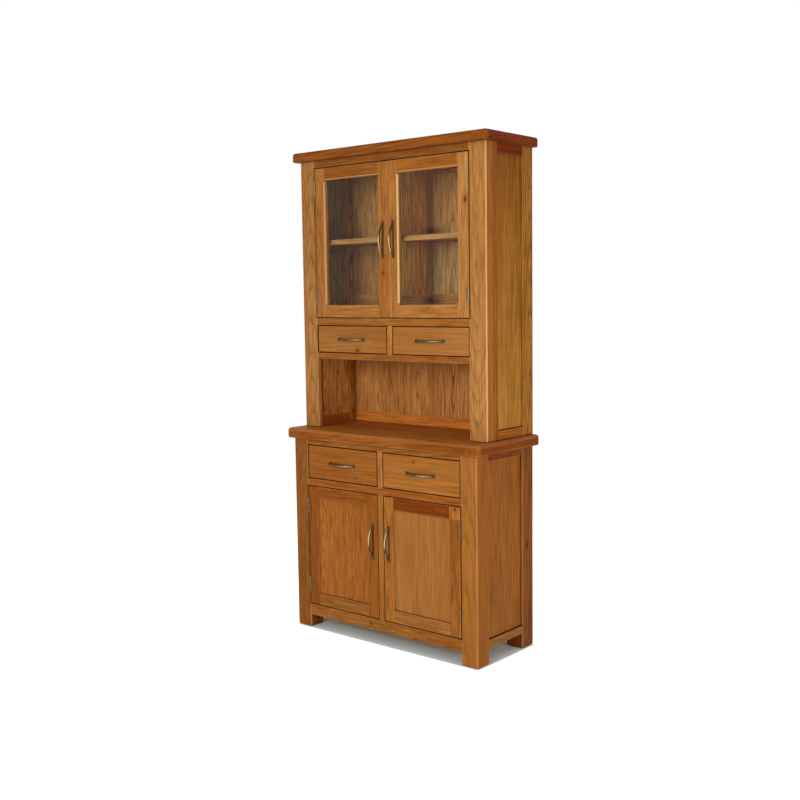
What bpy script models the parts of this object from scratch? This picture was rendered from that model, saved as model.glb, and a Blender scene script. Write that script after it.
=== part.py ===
# Kitchen dresser: a base with two doors and two drawers, and a glazed hutch that stands on it.
# Metres, +Z up. X is the width, Y runs from the front to the back, the floor is Z = 0.
# The origin lies under the middle of the whole outline, door handles included.

import bmesh
import bpy
from math import asin, cos, pi, radians, sin, tan
from mathutils import Vector

for old_object in list(bpy.data.objects):
    bpy.data.objects.remove(old_object, do_unlink=True)

# Overall sizes
TOTAL_HEIGHT = 1.900
BODY_WIDTH = 0.904
BASE_DEPTH = 0.360
WORKTOP_HEIGHT = 0.810
HUTCH_SET_BACK = 0.067
FIT_GAP = 0.0003
CUT_OVERRUN = 0.004

# Worktop and cornice boards
WORKTOP_THICKNESS = 0.040
WORKTOP_SIDE_OVERHANG = 0.025
WORKTOP_FRONT_OVERHANG = 0.018
CORNICE_THICKNESS = 0.036
CORNICE_SIDE_OVERHANG = 0.022
CORNICE_FRONT_OVERHANG = 0.028
TOP_EDGE_ROUND = 0.011
TOP_LOWER_ROUND = 0.005
TOP_CORNER_ROUND = 0.014
CLEAT_WIDTH = 0.070
CLEAT_JOINT_WIDTH = 0.0012

# Base frame
LEG_WIDTH = 0.073
LEG_DEPTH = 0.072
LEG_ROUND = 0.004
FOOT_CHAMFER = 0.006
RAIL_SET_BACK = 0.002
RAIL_DEPTH = 0.022
BASE_TOP_RAIL_HEIGHT = 0.022
BASE_DRAWER_HEIGHT = 0.137
BASE_MIDDLE_RAIL_HEIGHT = 0.028
BASE_BOTTOM_RAIL_HEIGHT = 0.045
BASE_RAIL_CLEARANCE = 0.051
MUNTIN_WIDTH = 0.026
MUNTIN_SET_BACK = 0.0005
MUNTIN_HOUSING = 0.006
ARRIS = 0.0015

# Base sides, back and boards
BASE_SIDE_SET_BACK = 0.003
BASE_SIDE_THICKNESS = 0.022
BASE_SIDE_TOP_RAIL = 0.029
BASE_SIDE_BOTTOM_RAIL = 0.033
BASE_SIDE_CLEARANCE = 0.058
PANEL_RECESS = 0.007
PANEL_INNER_RECESS = 0.005
BOARD_THICKNESS = 0.016
BACK_INSET = 0.030
BACK_THICKNESS = 0.018
BACK_PANEL_RECESS = 0.004
BACK_TOP_RAIL = 0.060
BASE_SHELF_HEIGHT = 0.345
BASE_SHELF_SET_BACK = 0.080

# Hutch frame
POST_WIDTH = 0.076
POST_FLANGE = 0.017
POST_DEPTH = 0.068
REAR_POST_DEPTH = 0.066
HUTCH_SIDE_THICKNESS = 0.036
HUTCH_SIDE_TOP_RAIL = 0.038
HUTCH_SIDE_BOTTOM_RAIL = 0.036
HUTCH_PANEL_INNER_RECESS = 0.008
HUTCH_TOP_RAIL_HEIGHT = 0.027
HUTCH_DOOR_HEIGHT = 0.589
HUTCH_MIDDLE_RAIL_HEIGHT = 0.028
HUTCH_DRAWER_HEIGHT = 0.109
HUTCH_LOWER_RAIL_HEIGHT = 0.024
HUTCH_BACK_BOTTOM_RAIL = 0.040
HUTCH_BACK_MIDDLE_RAIL_RISE = 0.089
PARTITION_THICKNESS = 0.018
PARTITION_STILE = 0.040
PARTITION_RECESS = 0.004
HUTCH_SHELF_HEIGHT = 1.556
HUTCH_SHELF_THICKNESS = 0.018
HUTCH_SHELF_SET_BACK = 0.040

# Door stops and drawer guides
STOP_CLEARANCE = 0.0005
STOP_DROP = 0.008
STOP_DEPTH = 0.012
GUIDE_HEIGHT = 0.012
GUIDE_WIDTH = 0.012
GUIDE_CLEARANCE = 0.001

# Doors
DOOR_GAP = 0.0030
DOOR_THICKNESS = 0.020
DOOR_MEMBER = 0.048
DOOR_EDGE_ROUND = 0.002
GROOVE_DEPTH = 0.008
PANEL_PLAY = 0.0008
DOOR_PANEL_THICKNESS = 0.008
DOOR_PANEL_RECESS = 0.005
PANE_THICKNESS = 0.004
PANE_RECESS = 0.008
BASE_HANDLE_DROP = 0.185

# Butt hinges
HINGE_LENGTH = 0.062
HINGE_END_DISTANCE = 0.048
HINGE_PROUD = 0.0025
KNUCKLE_RADIUS = 0.0030
PIN_RADIUS = 0.0013
BORE_CLEARANCE = 0.0004
LEAF_THICKNESS = 0.0007
LEAF_DEPTH = 0.014
KNUCKLE_COUNT = 5

# Bow handles
HANDLE_LENGTH = 0.139
HANDLE_PROJECTION = 0.026
FOOT_LENGTH = 0.016
FOOT_WIDTH = 0.012
FOOT_HEIGHT = 0.005
FOOT_TAPER = 0.002
FOOT_CORNER = 0.002
BOW_WIDTH = 0.0085
NECK_WIDTH = 0.0060
BOW_THICKNESS = 0.0060
NECK_THICKNESS = 0.0046
BOW_ROUND_SHARE = 0.42

# Drawers
DRAWER_GAP = 0.0030
DRAWER_FRONT_THICKNESS = 0.020
DRAWER_FRONT_ROUND = 0.002
BOX_INSET = 0.0008
BOX_TOP_CLEARANCE = 0.014
BOX_REAR_CLEARANCE = 0.010
BOX_WALL = 0.012
BOX_BOTTOM_THICKNESS = 0.006
BOX_BOTTOM_RISE = 0.010
BOX_TONGUE = 0.004
BOX_BACK_INSET = 0.006
BOX_BACK_DROP = 0.006
TAIL_LENGTH = 0.013
TAIL_PITCH = 0.036
TAIL_SLOPE = 0.16
TAIL_ROOT_SHARE = 0.56

# Counts of facets
ROUND_STEPS = 3
TOP_ROUND_STEPS = 4
ARRIS_STEPS = 2
BARREL_SIDES = 12
BOW_STATIONS = 17
SHARP_ANGLE = radians(35)

# Places worked out from the sizes
HANDLE_REACH = HANDLE_PROJECTION + FIT_GAP - RAIL_SET_BACK
REAR_Y = (BASE_DEPTH + HANDLE_REACH) / 2
FRONT_Y = REAR_Y - BASE_DEPTH
BASE_FACE_Y = FRONT_Y + RAIL_SET_BACK
HUTCH_FRONT_Y = FRONT_Y + HUTCH_SET_BACK
HUTCH_FACE_Y = HUTCH_FRONT_Y + RAIL_SET_BACK
BACK_Y = REAR_Y - BACK_INSET
HALF_WIDTH = BODY_WIDTH / 2
LEG_INNER_X = HALF_WIDTH - LEG_WIDTH
POST_INNER_X = HALF_WIDTH - POST_WIDTH
HUTCH_INNER_X = HALF_WIDTH - HUTCH_SIDE_THICKNESS
BASE_INNER_X = HALF_WIDTH - BASE_SIDE_SET_BACK - BASE_SIDE_THICKNESS

CARCASS_TOP_Z = WORKTOP_HEIGHT - WORKTOP_THICKNESS
BASE_DRAWER_TOP_Z = CARCASS_TOP_Z - BASE_TOP_RAIL_HEIGHT
BASE_DECK_Z = BASE_DRAWER_TOP_Z - BASE_DRAWER_HEIGHT
BASE_DOOR_TOP_Z = BASE_DECK_Z - BASE_MIDDLE_RAIL_HEIGHT
BASE_FLOOR_Z = BASE_RAIL_CLEARANCE + BASE_BOTTOM_RAIL_HEIGHT

CORNICE_Z = TOTAL_HEIGHT - CORNICE_THICKNESS
HUTCH_DOOR_TOP_Z = CORNICE_Z - HUTCH_TOP_RAIL_HEIGHT
CUPBOARD_FLOOR_Z = HUTCH_DOOR_TOP_Z - HUTCH_DOOR_HEIGHT
HUTCH_DRAWER_TOP_Z = CUPBOARD_FLOOR_Z - HUTCH_MIDDLE_RAIL_HEIGHT
HUTCH_DECK_Z = HUTCH_DRAWER_TOP_Z - HUTCH_DRAWER_HEIGHT
NICHE_TOP_Z = HUTCH_DECK_Z - HUTCH_LOWER_RAIL_HEIGHT

LEFT = -1
RIGHT = 1
SIDE_NAMES = {LEFT: "left", RIGHT: "right"}


# A Principled material of one plain colour
def plain_material(name, colour, roughness, metallic=0.0, transmission=0.0):
    material = bpy.data.materials.new(name)
    material.use_nodes = True
    shader = material.node_tree.nodes["Principled BSDF"]
    shader.inputs["Base Color"].default_value = (*colour, 1.0)
    shader.inputs["Roughness"].default_value = roughness
    shader.inputs["Metallic"].default_value = metallic
    shader.inputs["Transmission Weight"].default_value = transmission
    material.diffuse_color = (*colour, 1.0)
    return material


# Waxed oak, with its own shade on each kind of piece
def oak_material(name, colour):
    return plain_material(name, colour, roughness=0.45)


# Antique brass of the handles and hinges
def brass_material(name, colour):
    return plain_material(name, colour, roughness=0.35, metallic=1.0)


# Clear sheet glass of the hutch doors
def glass_material(name):
    return plain_material(name, (0.92, 0.95, 0.93), roughness=0.03, transmission=1.0)


# A named object from a closed solid drawn in world coordinates, carried by an empty if it moves
def add_piece(name, solid, materials, carrier=None, smooth=False):
    if carrier is not None:
        bmesh.ops.translate(solid, verts=solid.verts, vec=-carrier.location)
    bmesh.ops.recalc_face_normals(solid, faces=solid.faces)
    mesh = bpy.data.meshes.new(name)
    solid.to_mesh(mesh)
    solid.free()
    for material in materials:
        mesh.materials.append(material)
    if smooth:
        mesh.shade_smooth()
        mesh.set_sharp_from_angle(angle=SHARP_ANGLE)
    piece = bpy.data.objects.new(name, mesh)
    piece.parent = carrier
    bpy.context.scene.collection.objects.link(piece)
    return piece


# A helper solid that a Boolean joins to a piece or cuts out of it
def add_tool(name, solid, materials=(), carrier=None):
    tool = add_piece(name, solid, materials, carrier)
    tool.hide_render = True
    tool.display_type = "WIRE"
    return tool


def combine(piece, tool, operation):
    modifier = piece.modifiers.new(tool.name, "BOOLEAN")
    modifier.operation = operation
    modifier.solver = "EXACT"
    modifier.object = tool


# An empty on the joint axis of a moving body
def add_carrier(name, place):
    carrier = bpy.data.objects.new(name, None)
    carrier.location = place
    bpy.context.scene.collection.objects.link(carrier)
    return carrier


# Join a row of closed rings by quads, with flat ends or back round to the first ring
def loft(solid, rings, endless=False, slot=0):
    rows = [[solid.verts.new(point) for point in ring] for ring in rings]
    pairs = list(zip(rows, rows[1:]))
    if endless:
        pairs.append((rows[-1], rows[0]))
    faces = []
    for near, far in pairs:
        count = len(near)
        for i in range(count):
            j = (i + 1) % count
            faces.append(solid.faces.new((near[i], near[j], far[j], far[i])))
    if not endless:
        faces.append(solid.faces.new(list(reversed(rows[0]))))
        faces.append(solid.faces.new(rows[-1]))
    for face in faces:
        face.material_index = slot
    return solid


# Round the corners of an outline, each by its own radius
def fillet(points, radii, steps):
    outline = []
    count = len(points)
    for i in range(count):
        corner = Vector(points[i])
        before = (Vector(points[i - 1]) - corner).normalized()
        after = (Vector(points[(i + 1) % count]) - corner).normalized()
        if radii[i] == 0:
            outline.append(corner)
            continue
        half_angle = before.angle(after) / 2
        reach = radii[i] / tan(half_angle)
        middle = corner + (before + after).normalized() * radii[i] / sin(half_angle)
        first = (corner + before * reach - middle).normalized()
        last = (corner + after * reach - middle).normalized()
        for step in range(steps + 1):
            outline.append(middle + first.slerp(last, step / steps) * radii[i])
    return outline


# A rectangle whose corners are rounded alike
def rounded_rectangle(low_a, high_a, low_b, high_b, radius, steps):
    corners = [(low_a, low_b), (high_a, low_b), (high_a, high_b), (low_a, high_b)]
    return fillet(corners, [radius] * len(corners), steps)


# Outlines laid out at right angles to each axis
def ring_across_x(outline, x):
    return [(x, y, z) for y, z in outline]


def ring_across_y(outline, y):
    return [(x, y, z) for x, z in outline]


def ring_across_z(outline, z):
    return [(x, y, z) for x, y in outline]


def prism(solid, outline, across, start, end, slot=0):
    return loft(solid, [across(outline, start), across(outline, end)], slot=slot)


def block(solid, x0, x1, y0, y1, z0, z1):
    outline = [(x0, y0), (x1, y0), (x1, y1), (x0, y1)]
    return prism(solid, outline, ring_across_z, z0, z1)


# The leg or post side of a sign-mirrored X pair, smaller value first
def sided(side, inner, outer):
    return (inner, outer) if side == RIGHT else (-outer, -inner)


# Base legs: square stock with eased edges and a chamfered foot
def build_leg(name, side, y0, material):
    x0, x1 = sided(side, LEG_INNER_X, HALF_WIDTH)
    y1 = y0 + LEG_DEPTH
    rings = []
    for z, inset in ((0, FOOT_CHAMFER), (FOOT_CHAMFER, 0), (CARCASS_TOP_Z - FIT_GAP, 0)):
        outline = rounded_rectangle(x0 + inset, x1 - inset, y0 + inset, y1 - inset, LEG_ROUND, ROUND_STEPS)
        rings.append(ring_across_z(outline, z))
    return add_piece(name, loft(bmesh.new(), rings), [material], smooth=True)


# Worktop and cornice: a board with a rounded edge on its front and ends and a square back
def build_top(name, half_width, front_y, z0, thickness, material):
    profile = fillet([(half_width, 0), (0, 0), (0, thickness), (half_width, thickness)],
                     [0, TOP_LOWER_ROUND, TOP_EDGE_ROUND, 0], TOP_ROUND_STEPS)[1:-1]
    rings = []
    for inset, rise in profile:
        corners = [(-half_width + inset, front_y + inset), (half_width - inset, front_y + inset),
                   (half_width - inset, REAR_Y), (-half_width + inset, REAR_Y)]
        corner_round = TOP_CORNER_ROUND - inset
        outline = fillet(corners, [corner_round, corner_round, 0, 0], TOP_ROUND_STEPS)
        rings.append(ring_across_z(outline, z0 + rise))
    top = add_piece(name, loft(bmesh.new(), rings), [material], smooth=True)
    cuts = bmesh.new()
    for side in (LEFT, RIGHT):
        joint_x = side * (half_width - CLEAT_WIDTH)
        top_z = z0 + thickness
        notch = [(joint_x - CLEAT_JOINT_WIDTH, top_z + CLEAT_JOINT_WIDTH),
                 (joint_x, top_z - CLEAT_JOINT_WIDTH),
                 (joint_x + CLEAT_JOINT_WIDTH, top_z + CLEAT_JOINT_WIDTH)]
        prism(cuts, notch, ring_across_y, front_y - CUT_OVERRUN, REAR_Y + CUT_OVERRUN)
    combine(top, add_tool(name + "_cleat_joints", cuts), "DIFFERENCE")
    return top


# A rail across the front with eased front edges, and a door stop behind it where one is asked for
def build_front_rail(name, half_width, face_y, z0, z1, stop, material):
    y1 = face_y + RAIL_DEPTH
    corners = [(face_y, z0)]
    radii = [ARRIS]
    if stop:
        stop_y = face_y + DOOR_THICKNESS + STOP_CLEARANCE
        corners += [(stop_y, z0), (stop_y, z0 - STOP_DROP), (stop_y + STOP_DEPTH, z0 - STOP_DROP)]
        radii += [0, 0, 0]
        y1 = stop_y + STOP_DEPTH
    else:
        corners += [(y1, z0)]
        radii += [0]
    corners += [(y1, z1), (face_y, z1)]
    radii += [0, ARRIS]
    outline = fillet(corners, radii, ARRIS_STEPS)
    solid = prism(bmesh.new(), outline, ring_across_x, -half_width, half_width)
    return add_piece(name, solid, [material])


# A board with its front rail, fitted round the posts that stand through its corners
def build_deck(name, half_width, face_y, rail_height, top_z, rear_y, stop, corner_cuts, material):
    rail_z = top_z - rail_height
    board_z = top_z - BOARD_THICKNESS
    rail_y = face_y + RAIL_DEPTH
    corners = [(face_y, rail_z)]
    if stop:
        stop_y = face_y + DOOR_THICKNESS + STOP_CLEARANCE
        rail_y = stop_y + STOP_DEPTH
        corners += [(stop_y, rail_z), (stop_y, rail_z - STOP_DROP), (rail_y, rail_z - STOP_DROP)]
    else:
        corners += [(rail_y, rail_z)]
    corners += [(rail_y, board_z), (rear_y, board_z), (rear_y, top_z), (face_y, top_z)]
    radii = [ARRIS] + [0] * (len(corners) - 2) + [ARRIS]
    outline = fillet(corners, radii, ARRIS_STEPS)
    deck = add_piece(name, prism(bmesh.new(), outline, ring_across_x, -half_width, half_width), [material])
    combine(deck, add_tool(name + "_corner_cuts", corner_cuts), "DIFFERENCE")
    return deck


# Boxes round the four legs, for boards that are notched to fit them
def leg_clearances(z0, z1):
    cuts = bmesh.new()
    reach = HALF_WIDTH + CUT_OVERRUN
    for side in (LEFT, RIGHT):
        x0, x1 = sided(side, LEG_INNER_X - FIT_GAP, reach)
        block(cuts, x0, x1, FRONT_Y - CUT_OVERRUN, FRONT_Y + LEG_DEPTH + FIT_GAP, z0, z1)
        block(cuts, x0, x1, REAR_Y - LEG_DEPTH - FIT_GAP, REAR_Y + CUT_OVERRUN, z0, z1)
    return cuts


# Boxes round the two front posts' flanges, for the hutch boards
def flange_clearances(z0, z1):
    cuts = bmesh.new()
    for side in (LEFT, RIGHT):
        x0, x1 = sided(side, POST_INNER_X - FIT_GAP, HALF_WIDTH + CUT_OVERRUN)
        block(cuts, x0, x1, HUTCH_FRONT_Y - CUT_OVERRUN, HUTCH_FRONT_Y + POST_FLANGE + FIT_GAP, z0, z1)
    return cuts


# The divider between two drawers and the guides that their boxes run along, let into the deck
def build_drawer_guides(name, deck, face_y, deck_z, top_z, post_x, post_y, rear_y, material):
    foot_z = deck_z - MUNTIN_HOUSING
    rail_y = face_y + RAIL_DEPTH
    half = MUNTIN_WIDTH / 2
    divider = block(bmesh.new(), -half, half, face_y + MUNTIN_SET_BACK, rail_y, foot_z, top_z - FIT_GAP)
    combine(deck, add_tool(name + "_divider", divider, [material]), "UNION")
    reach = DRAWER_GAP + BOX_INSET - GUIDE_CLEARANCE
    places = [(-half - reach, half + reach, rail_y)]
    for side in (LEFT, RIGHT):
        x0, x1 = sided(side, post_x - reach, post_x + GUIDE_WIDTH)
        places.append((x0, x1, max(rail_y, post_y + FIT_GAP)))
    guides = bmesh.new()
    for x0, x1, y0 in places:
        block(guides, x0, x1, y0, rear_y, foot_z, deck_z + GUIDE_HEIGHT)
    combine(deck, add_tool(name, guides, [material]), "UNION")


# A plain board notched round the legs
def build_notched_board(name, y0, top_z, material):
    z0 = top_z - BOARD_THICKNESS
    half = BASE_INNER_X - FIT_GAP
    board = add_piece(name, block(bmesh.new(), -half, half, y0, BACK_Y - FIT_GAP, z0, top_z), [material])
    cuts = leg_clearances(z0 - CUT_OVERRUN, top_z + CUT_OVERRUN)
    combine(board, add_tool(name + "_corner_cuts", cuts), "DIFFERENCE")


# A side: top and bottom rails with a panel between them that is set in from both faces
def build_side(name, side, outer_x, thickness, y0, y1, levels, recesses, material):
    z0, z1, z2, z3 = levels
    outer_recess, inner_recess = recesses
    outer_panel_x = outer_x - outer_recess
    inner_x = outer_x - thickness
    inner_panel_x = inner_x + inner_recess
    profile = [(outer_x, z0), (outer_x, z1), (outer_panel_x, z1),
               (outer_panel_x, z2), (outer_x, z2), (outer_x, z3),
               (inner_x, z3), (inner_x, z2), (inner_panel_x, z2),
               (inner_panel_x, z1), (inner_x, z1), (inner_x, z0)]
    radii = [0, ARRIS, 0, 0, ARRIS, 0, 0, ARRIS, 0, 0, ARRIS, 0]
    outline = [(side * x, z) for x, z in fillet(profile, radii, ARRIS_STEPS)]
    return add_piece(name, prism(bmesh.new(), outline, ring_across_y, y0, y1), [material])


# A back: rails across its height with panels between them, set in from both faces
def build_back(name, half_width, levels, material):
    inner = []
    outer = []
    inner_panel_y = BACK_Y + BACK_PANEL_RECESS
    outer_y = BACK_Y + BACK_THICKNESS
    outer_panel_y = outer_y - BACK_PANEL_RECESS
    for i, z in enumerate(levels):
        starts_panel = i % 2 == 1
        near, far = (BACK_Y, inner_panel_y) if starts_panel else (inner_panel_y, BACK_Y)
        near_outer, far_outer = (outer_y, outer_panel_y) if starts_panel else (outer_panel_y, outer_y)
        if 0 < i < len(levels) - 1:
            inner += [(near, z), (far, z)]
            outer += [(near_outer, z), (far_outer, z)]
        else:
            inner.append((BACK_Y, z))
            outer.append((outer_y, z))
    outline = outer + list(reversed(inner))
    return add_piece(name, prism(bmesh.new(), outline, ring_across_x, -half_width, half_width), [material])


# Front post of the hutch: an angle section whose flange frames the doors
def build_front_post(name, side, material):
    y0 = HUTCH_FRONT_Y
    flange_y = y0 + POST_FLANGE
    corners = [(POST_INNER_X, y0), (HALF_WIDTH, y0), (HALF_WIDTH, y0 + POST_DEPTH),
               (HUTCH_INNER_X, y0 + POST_DEPTH), (HUTCH_INNER_X, flange_y), (POST_INNER_X, flange_y)]
    radii = [ARRIS, LEG_ROUND, ARRIS, ARRIS, 0, ARRIS]
    outline = [(side * x, y) for x, y in fillet(corners, radii, ROUND_STEPS)]
    solid = prism(bmesh.new(), outline, ring_across_z, WORKTOP_HEIGHT + FIT_GAP, CORNICE_Z - FIT_GAP)
    return add_piece(name, solid, [material], smooth=True)


# Rear post of the hutch
def build_rear_post(name, side, material):
    x0, x1 = sided(side, HUTCH_INNER_X, HALF_WIDTH)
    outline = rounded_rectangle(x0, x1, REAR_Y - REAR_POST_DEPTH, REAR_Y, ARRIS, ARRIS_STEPS)
    solid = prism(bmesh.new(), outline, ring_across_z, WORKTOP_HEIGHT + FIT_GAP, CORNICE_Z - FIT_GAP)
    return add_piece(name, solid, [material], smooth=True)


# Partition of the glazed cupboard, with a panel sunk in both faces
def build_partition(name, material):
    half = PARTITION_THICKNESS / 2
    y0 = HUTCH_FACE_Y + DOOR_THICKNESS + STOP_CLEARANCE
    y1 = BACK_Y - FIT_GAP
    z0 = CUPBOARD_FLOOR_Z + FIT_GAP
    z1 = CORNICE_Z - FIT_GAP
    stop_rear_y = HUTCH_FACE_Y + DOOR_THICKNESS + STOP_CLEARANCE + STOP_DEPTH
    solid = block(bmesh.new(), -half, half, y0, y1, z0, z1)
    partition = add_piece(name, solid, [material])
    cuts = bmesh.new()
    low_z = CUPBOARD_FLOOR_Z + HUTCH_BACK_MIDDLE_RAIL_RISE
    high_z = CORNICE_Z - HUTCH_SIDE_TOP_RAIL
    for side in (LEFT, RIGHT):
        x0, x1 = sided(side, half - PARTITION_RECESS, half + CUT_OVERRUN)
        block(cuts, x0, x1, y0 + PARTITION_STILE, y1 - PARTITION_STILE, low_z, high_z)
    rail_z = HUTCH_DOOR_TOP_Z - STOP_DROP - FIT_GAP
    reach = half + CUT_OVERRUN
    block(cuts, -reach, reach, y0 - CUT_OVERRUN, stop_rear_y + FIT_GAP, rail_z, z1 + CUT_OVERRUN)
    combine(partition, add_tool(name + "_cuts", cuts), "DIFFERENCE")
    return partition


# Shelf of the glazed cupboard, one each side of the partition
def build_hutch_shelf(name, side, material):
    x0, x1 = sided(side, PARTITION_THICKNESS / 2 + FIT_GAP, HUTCH_INNER_X - FIT_GAP)
    y0 = HUTCH_FACE_Y + HUTCH_SHELF_SET_BACK
    y1 = BACK_Y - FIT_GAP
    z0 = HUTCH_SHELF_HEIGHT - HUTCH_SHELF_THICKNESS
    corners = [(y0, z0), (y1, z0), (y1, HUTCH_SHELF_HEIGHT), (y0, HUTCH_SHELF_HEIGHT)]
    outline = fillet(corners, [ARRIS, 0, 0, ARRIS], ARRIS_STEPS)
    return add_piece(name, prism(bmesh.new(), outline, ring_across_x, x0, x1), [material])


# A turned barrel about Z from (radius, height) steps
def barrel_rings(steps):
    rings = []
    for radius, z in steps:
        angles = [2 * pi * i / BARREL_SIDES for i in range(BARREL_SIDES)]
        rings.append([(radius * cos(angle), radius * sin(angle), z) for angle in angles])
    return rings


# Ends of the knuckles, from the foot of the hinge up; the even ones belong to the fixed half
def knuckle_span(index):
    pitch = HINGE_LENGTH / KNUCKLE_COUNT
    low = -HINGE_LENGTH / 2 + pitch * index
    return low + FIT_GAP / 2, low + pitch - FIT_GAP / 2


# Radius of a bored knuckle's hole, measured to the corners of its facets
BORE_RADIUS = (PIN_RADIUS + BORE_CLEARANCE) / cos(pi / BARREL_SIDES)


# Leaf of a hinge half, rooted in its own knuckles and cut back where the other half's turn
def leaf_outline(keeps_even):
    root_y = (BORE_RADIUS + KNUCKLE_RADIUS) / 2
    cut_y = KNUCKLE_RADIUS + FIT_GAP
    outline = [(LEAF_DEPTH, knuckle_span(KNUCKLE_COUNT - 1)[1]), (LEAF_DEPTH, knuckle_span(0)[0])]
    for index in range(KNUCKLE_COUNT):
        low, high = knuckle_span(index)
        kept = (index % 2 == 0) == keeps_even
        if kept:
            outline += [(root_y, low), (root_y, high)]
        else:
            low -= FIT_GAP if index > 0 else 0
            high += FIT_GAP if index < KNUCKLE_COUNT - 1 else 0
            outline += [(cut_y, low), (cut_y, high)]
    return outline


# Fixed half of a hinge at the origin, its post on the side given: leaf, outer knuckles and pin
def fixed_hinge_mesh(side, material):
    inner_x = DOOR_GAP / 2 - FIT_GAP - LEAF_THICKNESS
    x0, x1 = sided(side, inner_x, inner_x + LEAF_THICKNESS)
    leaf = add_piece("leaf", prism(bmesh.new(), leaf_outline(True), ring_across_x, x0, x1), [material])
    steps = []
    for index in range(KNUCKLE_COUNT):
        low, high = knuckle_span(index)
        if index % 2 == 0:
            steps += [(KNUCKLE_RADIUS, low), (KNUCKLE_RADIUS, high)]
            if index < KNUCKLE_COUNT - 1:
                steps += [(PIN_RADIUS, high), (PIN_RADIUS, knuckle_span(index + 2)[0])]
    barrel = add_piece("barrel", loft(bmesh.new(), barrel_rings(steps)), [material])
    combine(leaf, barrel, "UNION")
    bpy.context.view_layer.update()
    evaluated = leaf.evaluated_get(bpy.context.evaluated_depsgraph_get())
    mesh = bpy.data.meshes.new_from_object(evaluated)
    mesh.name = "fixed_hinge_" + SIDE_NAMES[side]
    bpy.data.objects.remove(leaf, do_unlink=True)
    bpy.data.objects.remove(barrel, do_unlink=True)
    return mesh


# Bored knuckles of a door's half of a hinge
def bored_knuckles(solid, place, slot):
    for index in range(1, KNUCKLE_COUNT, 2):
        low, high = knuckle_span(index)
        steps = [(KNUCKLE_RADIUS, low), (KNUCKLE_RADIUS, high), (BORE_RADIUS, high), (BORE_RADIUS, low)]
        rings = [[Vector(point) + place for point in ring] for ring in barrel_rings(steps)]
        loft(solid, rings, endless=True, slot=slot)


# A door: a grooved frame, what it holds, and its halves of the two hinges
def build_door(name, side, hinge_x, unit):
    face_y, held, materials = unit["face_y"], unit["held"], unit["materials"]
    z0, z1 = unit["door_span"]
    axis = Vector((side * hinge_x, face_y - HINGE_PROUD, (z0 + z1) / 2))
    carrier = add_carrier(name + "_axis", axis)
    x0, x1 = sided(side, unit["free_x"], hinge_x - DOOR_GAP / 2)
    low, high = z0 + DOOR_GAP, z1 - DOOR_GAP
    recess, thickness = held["recess"], held["thickness"]
    groove_start = recess - FIT_GAP
    groove_end = recess + thickness + FIT_GAP
    depth = DOOR_MEMBER - GROOVE_DEPTH
    corners = [(0, 0), (DOOR_MEMBER, 0), (DOOR_MEMBER, groove_start),
               (depth, groove_start), (depth, groove_end),
               (DOOR_MEMBER, groove_end), (DOOR_MEMBER, DOOR_THICKNESS), (0, DOOR_THICKNESS)]
    radii = [DOOR_EDGE_ROUND, ARRIS, 0, 0, 0, 0, 0, 0]
    rings = []
    for inset, back in fillet(corners, radii, ARRIS_STEPS):
        y = face_y + back
        rings.append([(x0 + inset, y, low + inset), (x1 - inset, y, low + inset),
                      (x1 - inset, y, high - inset), (x0 + inset, y, high - inset)])
    slots = [materials["frame"], materials["brass"]]
    frame = add_piece(name + "_frame", loft(bmesh.new(), rings, endless=True), slots, carrier)

    hinge_inset = HINGE_END_DISTANCE + HINGE_LENGTH / 2
    hinge_heights = [low + hinge_inset, high - hinge_inset]
    cuts = bmesh.new()
    halves = bmesh.new()
    leaves = bmesh.new()
    leaf_x = DOOR_GAP / 2 - LEAF_THICKNESS
    for z in hinge_heights:
        place = Vector((axis.x, axis.y, z))
        barrel_seat(cuts, place)
        bored_knuckles(halves, place, 1)
        outline = [(place.y + y, place.z + rise) for y, rise in leaf_outline(False)]
        edge_x = side * (hinge_x - DOOR_GAP / 2 - LEAF_THICKNESS)
        prism(leaves, outline, ring_across_x, edge_x, side * (hinge_x - leaf_x), slot=1)
    combine(frame, add_tool(name + "_barrel_seats", cuts, carrier=carrier), "DIFFERENCE")
    combine(frame, add_tool(name + "_hinge_leaves", leaves, slots, carrier), "UNION")
    combine(frame, add_tool(name + "_hinge_knuckles", halves, slots, carrier), "UNION")

    edge = depth + PANEL_PLAY
    held_y = face_y + recess
    solid = block(bmesh.new(), x0 + edge, x1 - edge, held_y, held_y + thickness, low + edge, high - edge)
    add_piece(name + "_" + held["name"], solid, [materials["held"]], carrier)
    return carrier, hinge_heights


# Room for a hinge barrel in the edges of a door and its post
def barrel_seat(solid, place):
    radius = (KNUCKLE_RADIUS + FIT_GAP) / cos(pi / BARREL_SIDES)
    half = HINGE_LENGTH / 2 + FIT_GAP
    rings = barrel_rings([(radius, -half), (radius, half)])
    loft(solid, [[Vector(point) + place for point in ring] for ring in rings])


# Fixed hinge halves of one door, and the seats for them in its post
def fit_hinges(name, post, mesh, door_axis, heights):
    cuts = bmesh.new()
    for level, z in zip(("lower", "upper"), heights):
        place = Vector((door_axis.location.x, door_axis.location.y, z))
        hinge = bpy.data.objects.new(name + "_hinge_" + level, mesh)
        hinge.location = place
        bpy.context.scene.collection.objects.link(hinge)
        barrel_seat(cuts, place)
    combine(post, add_tool(name + "_post_seats", cuts), "DIFFERENCE")


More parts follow.
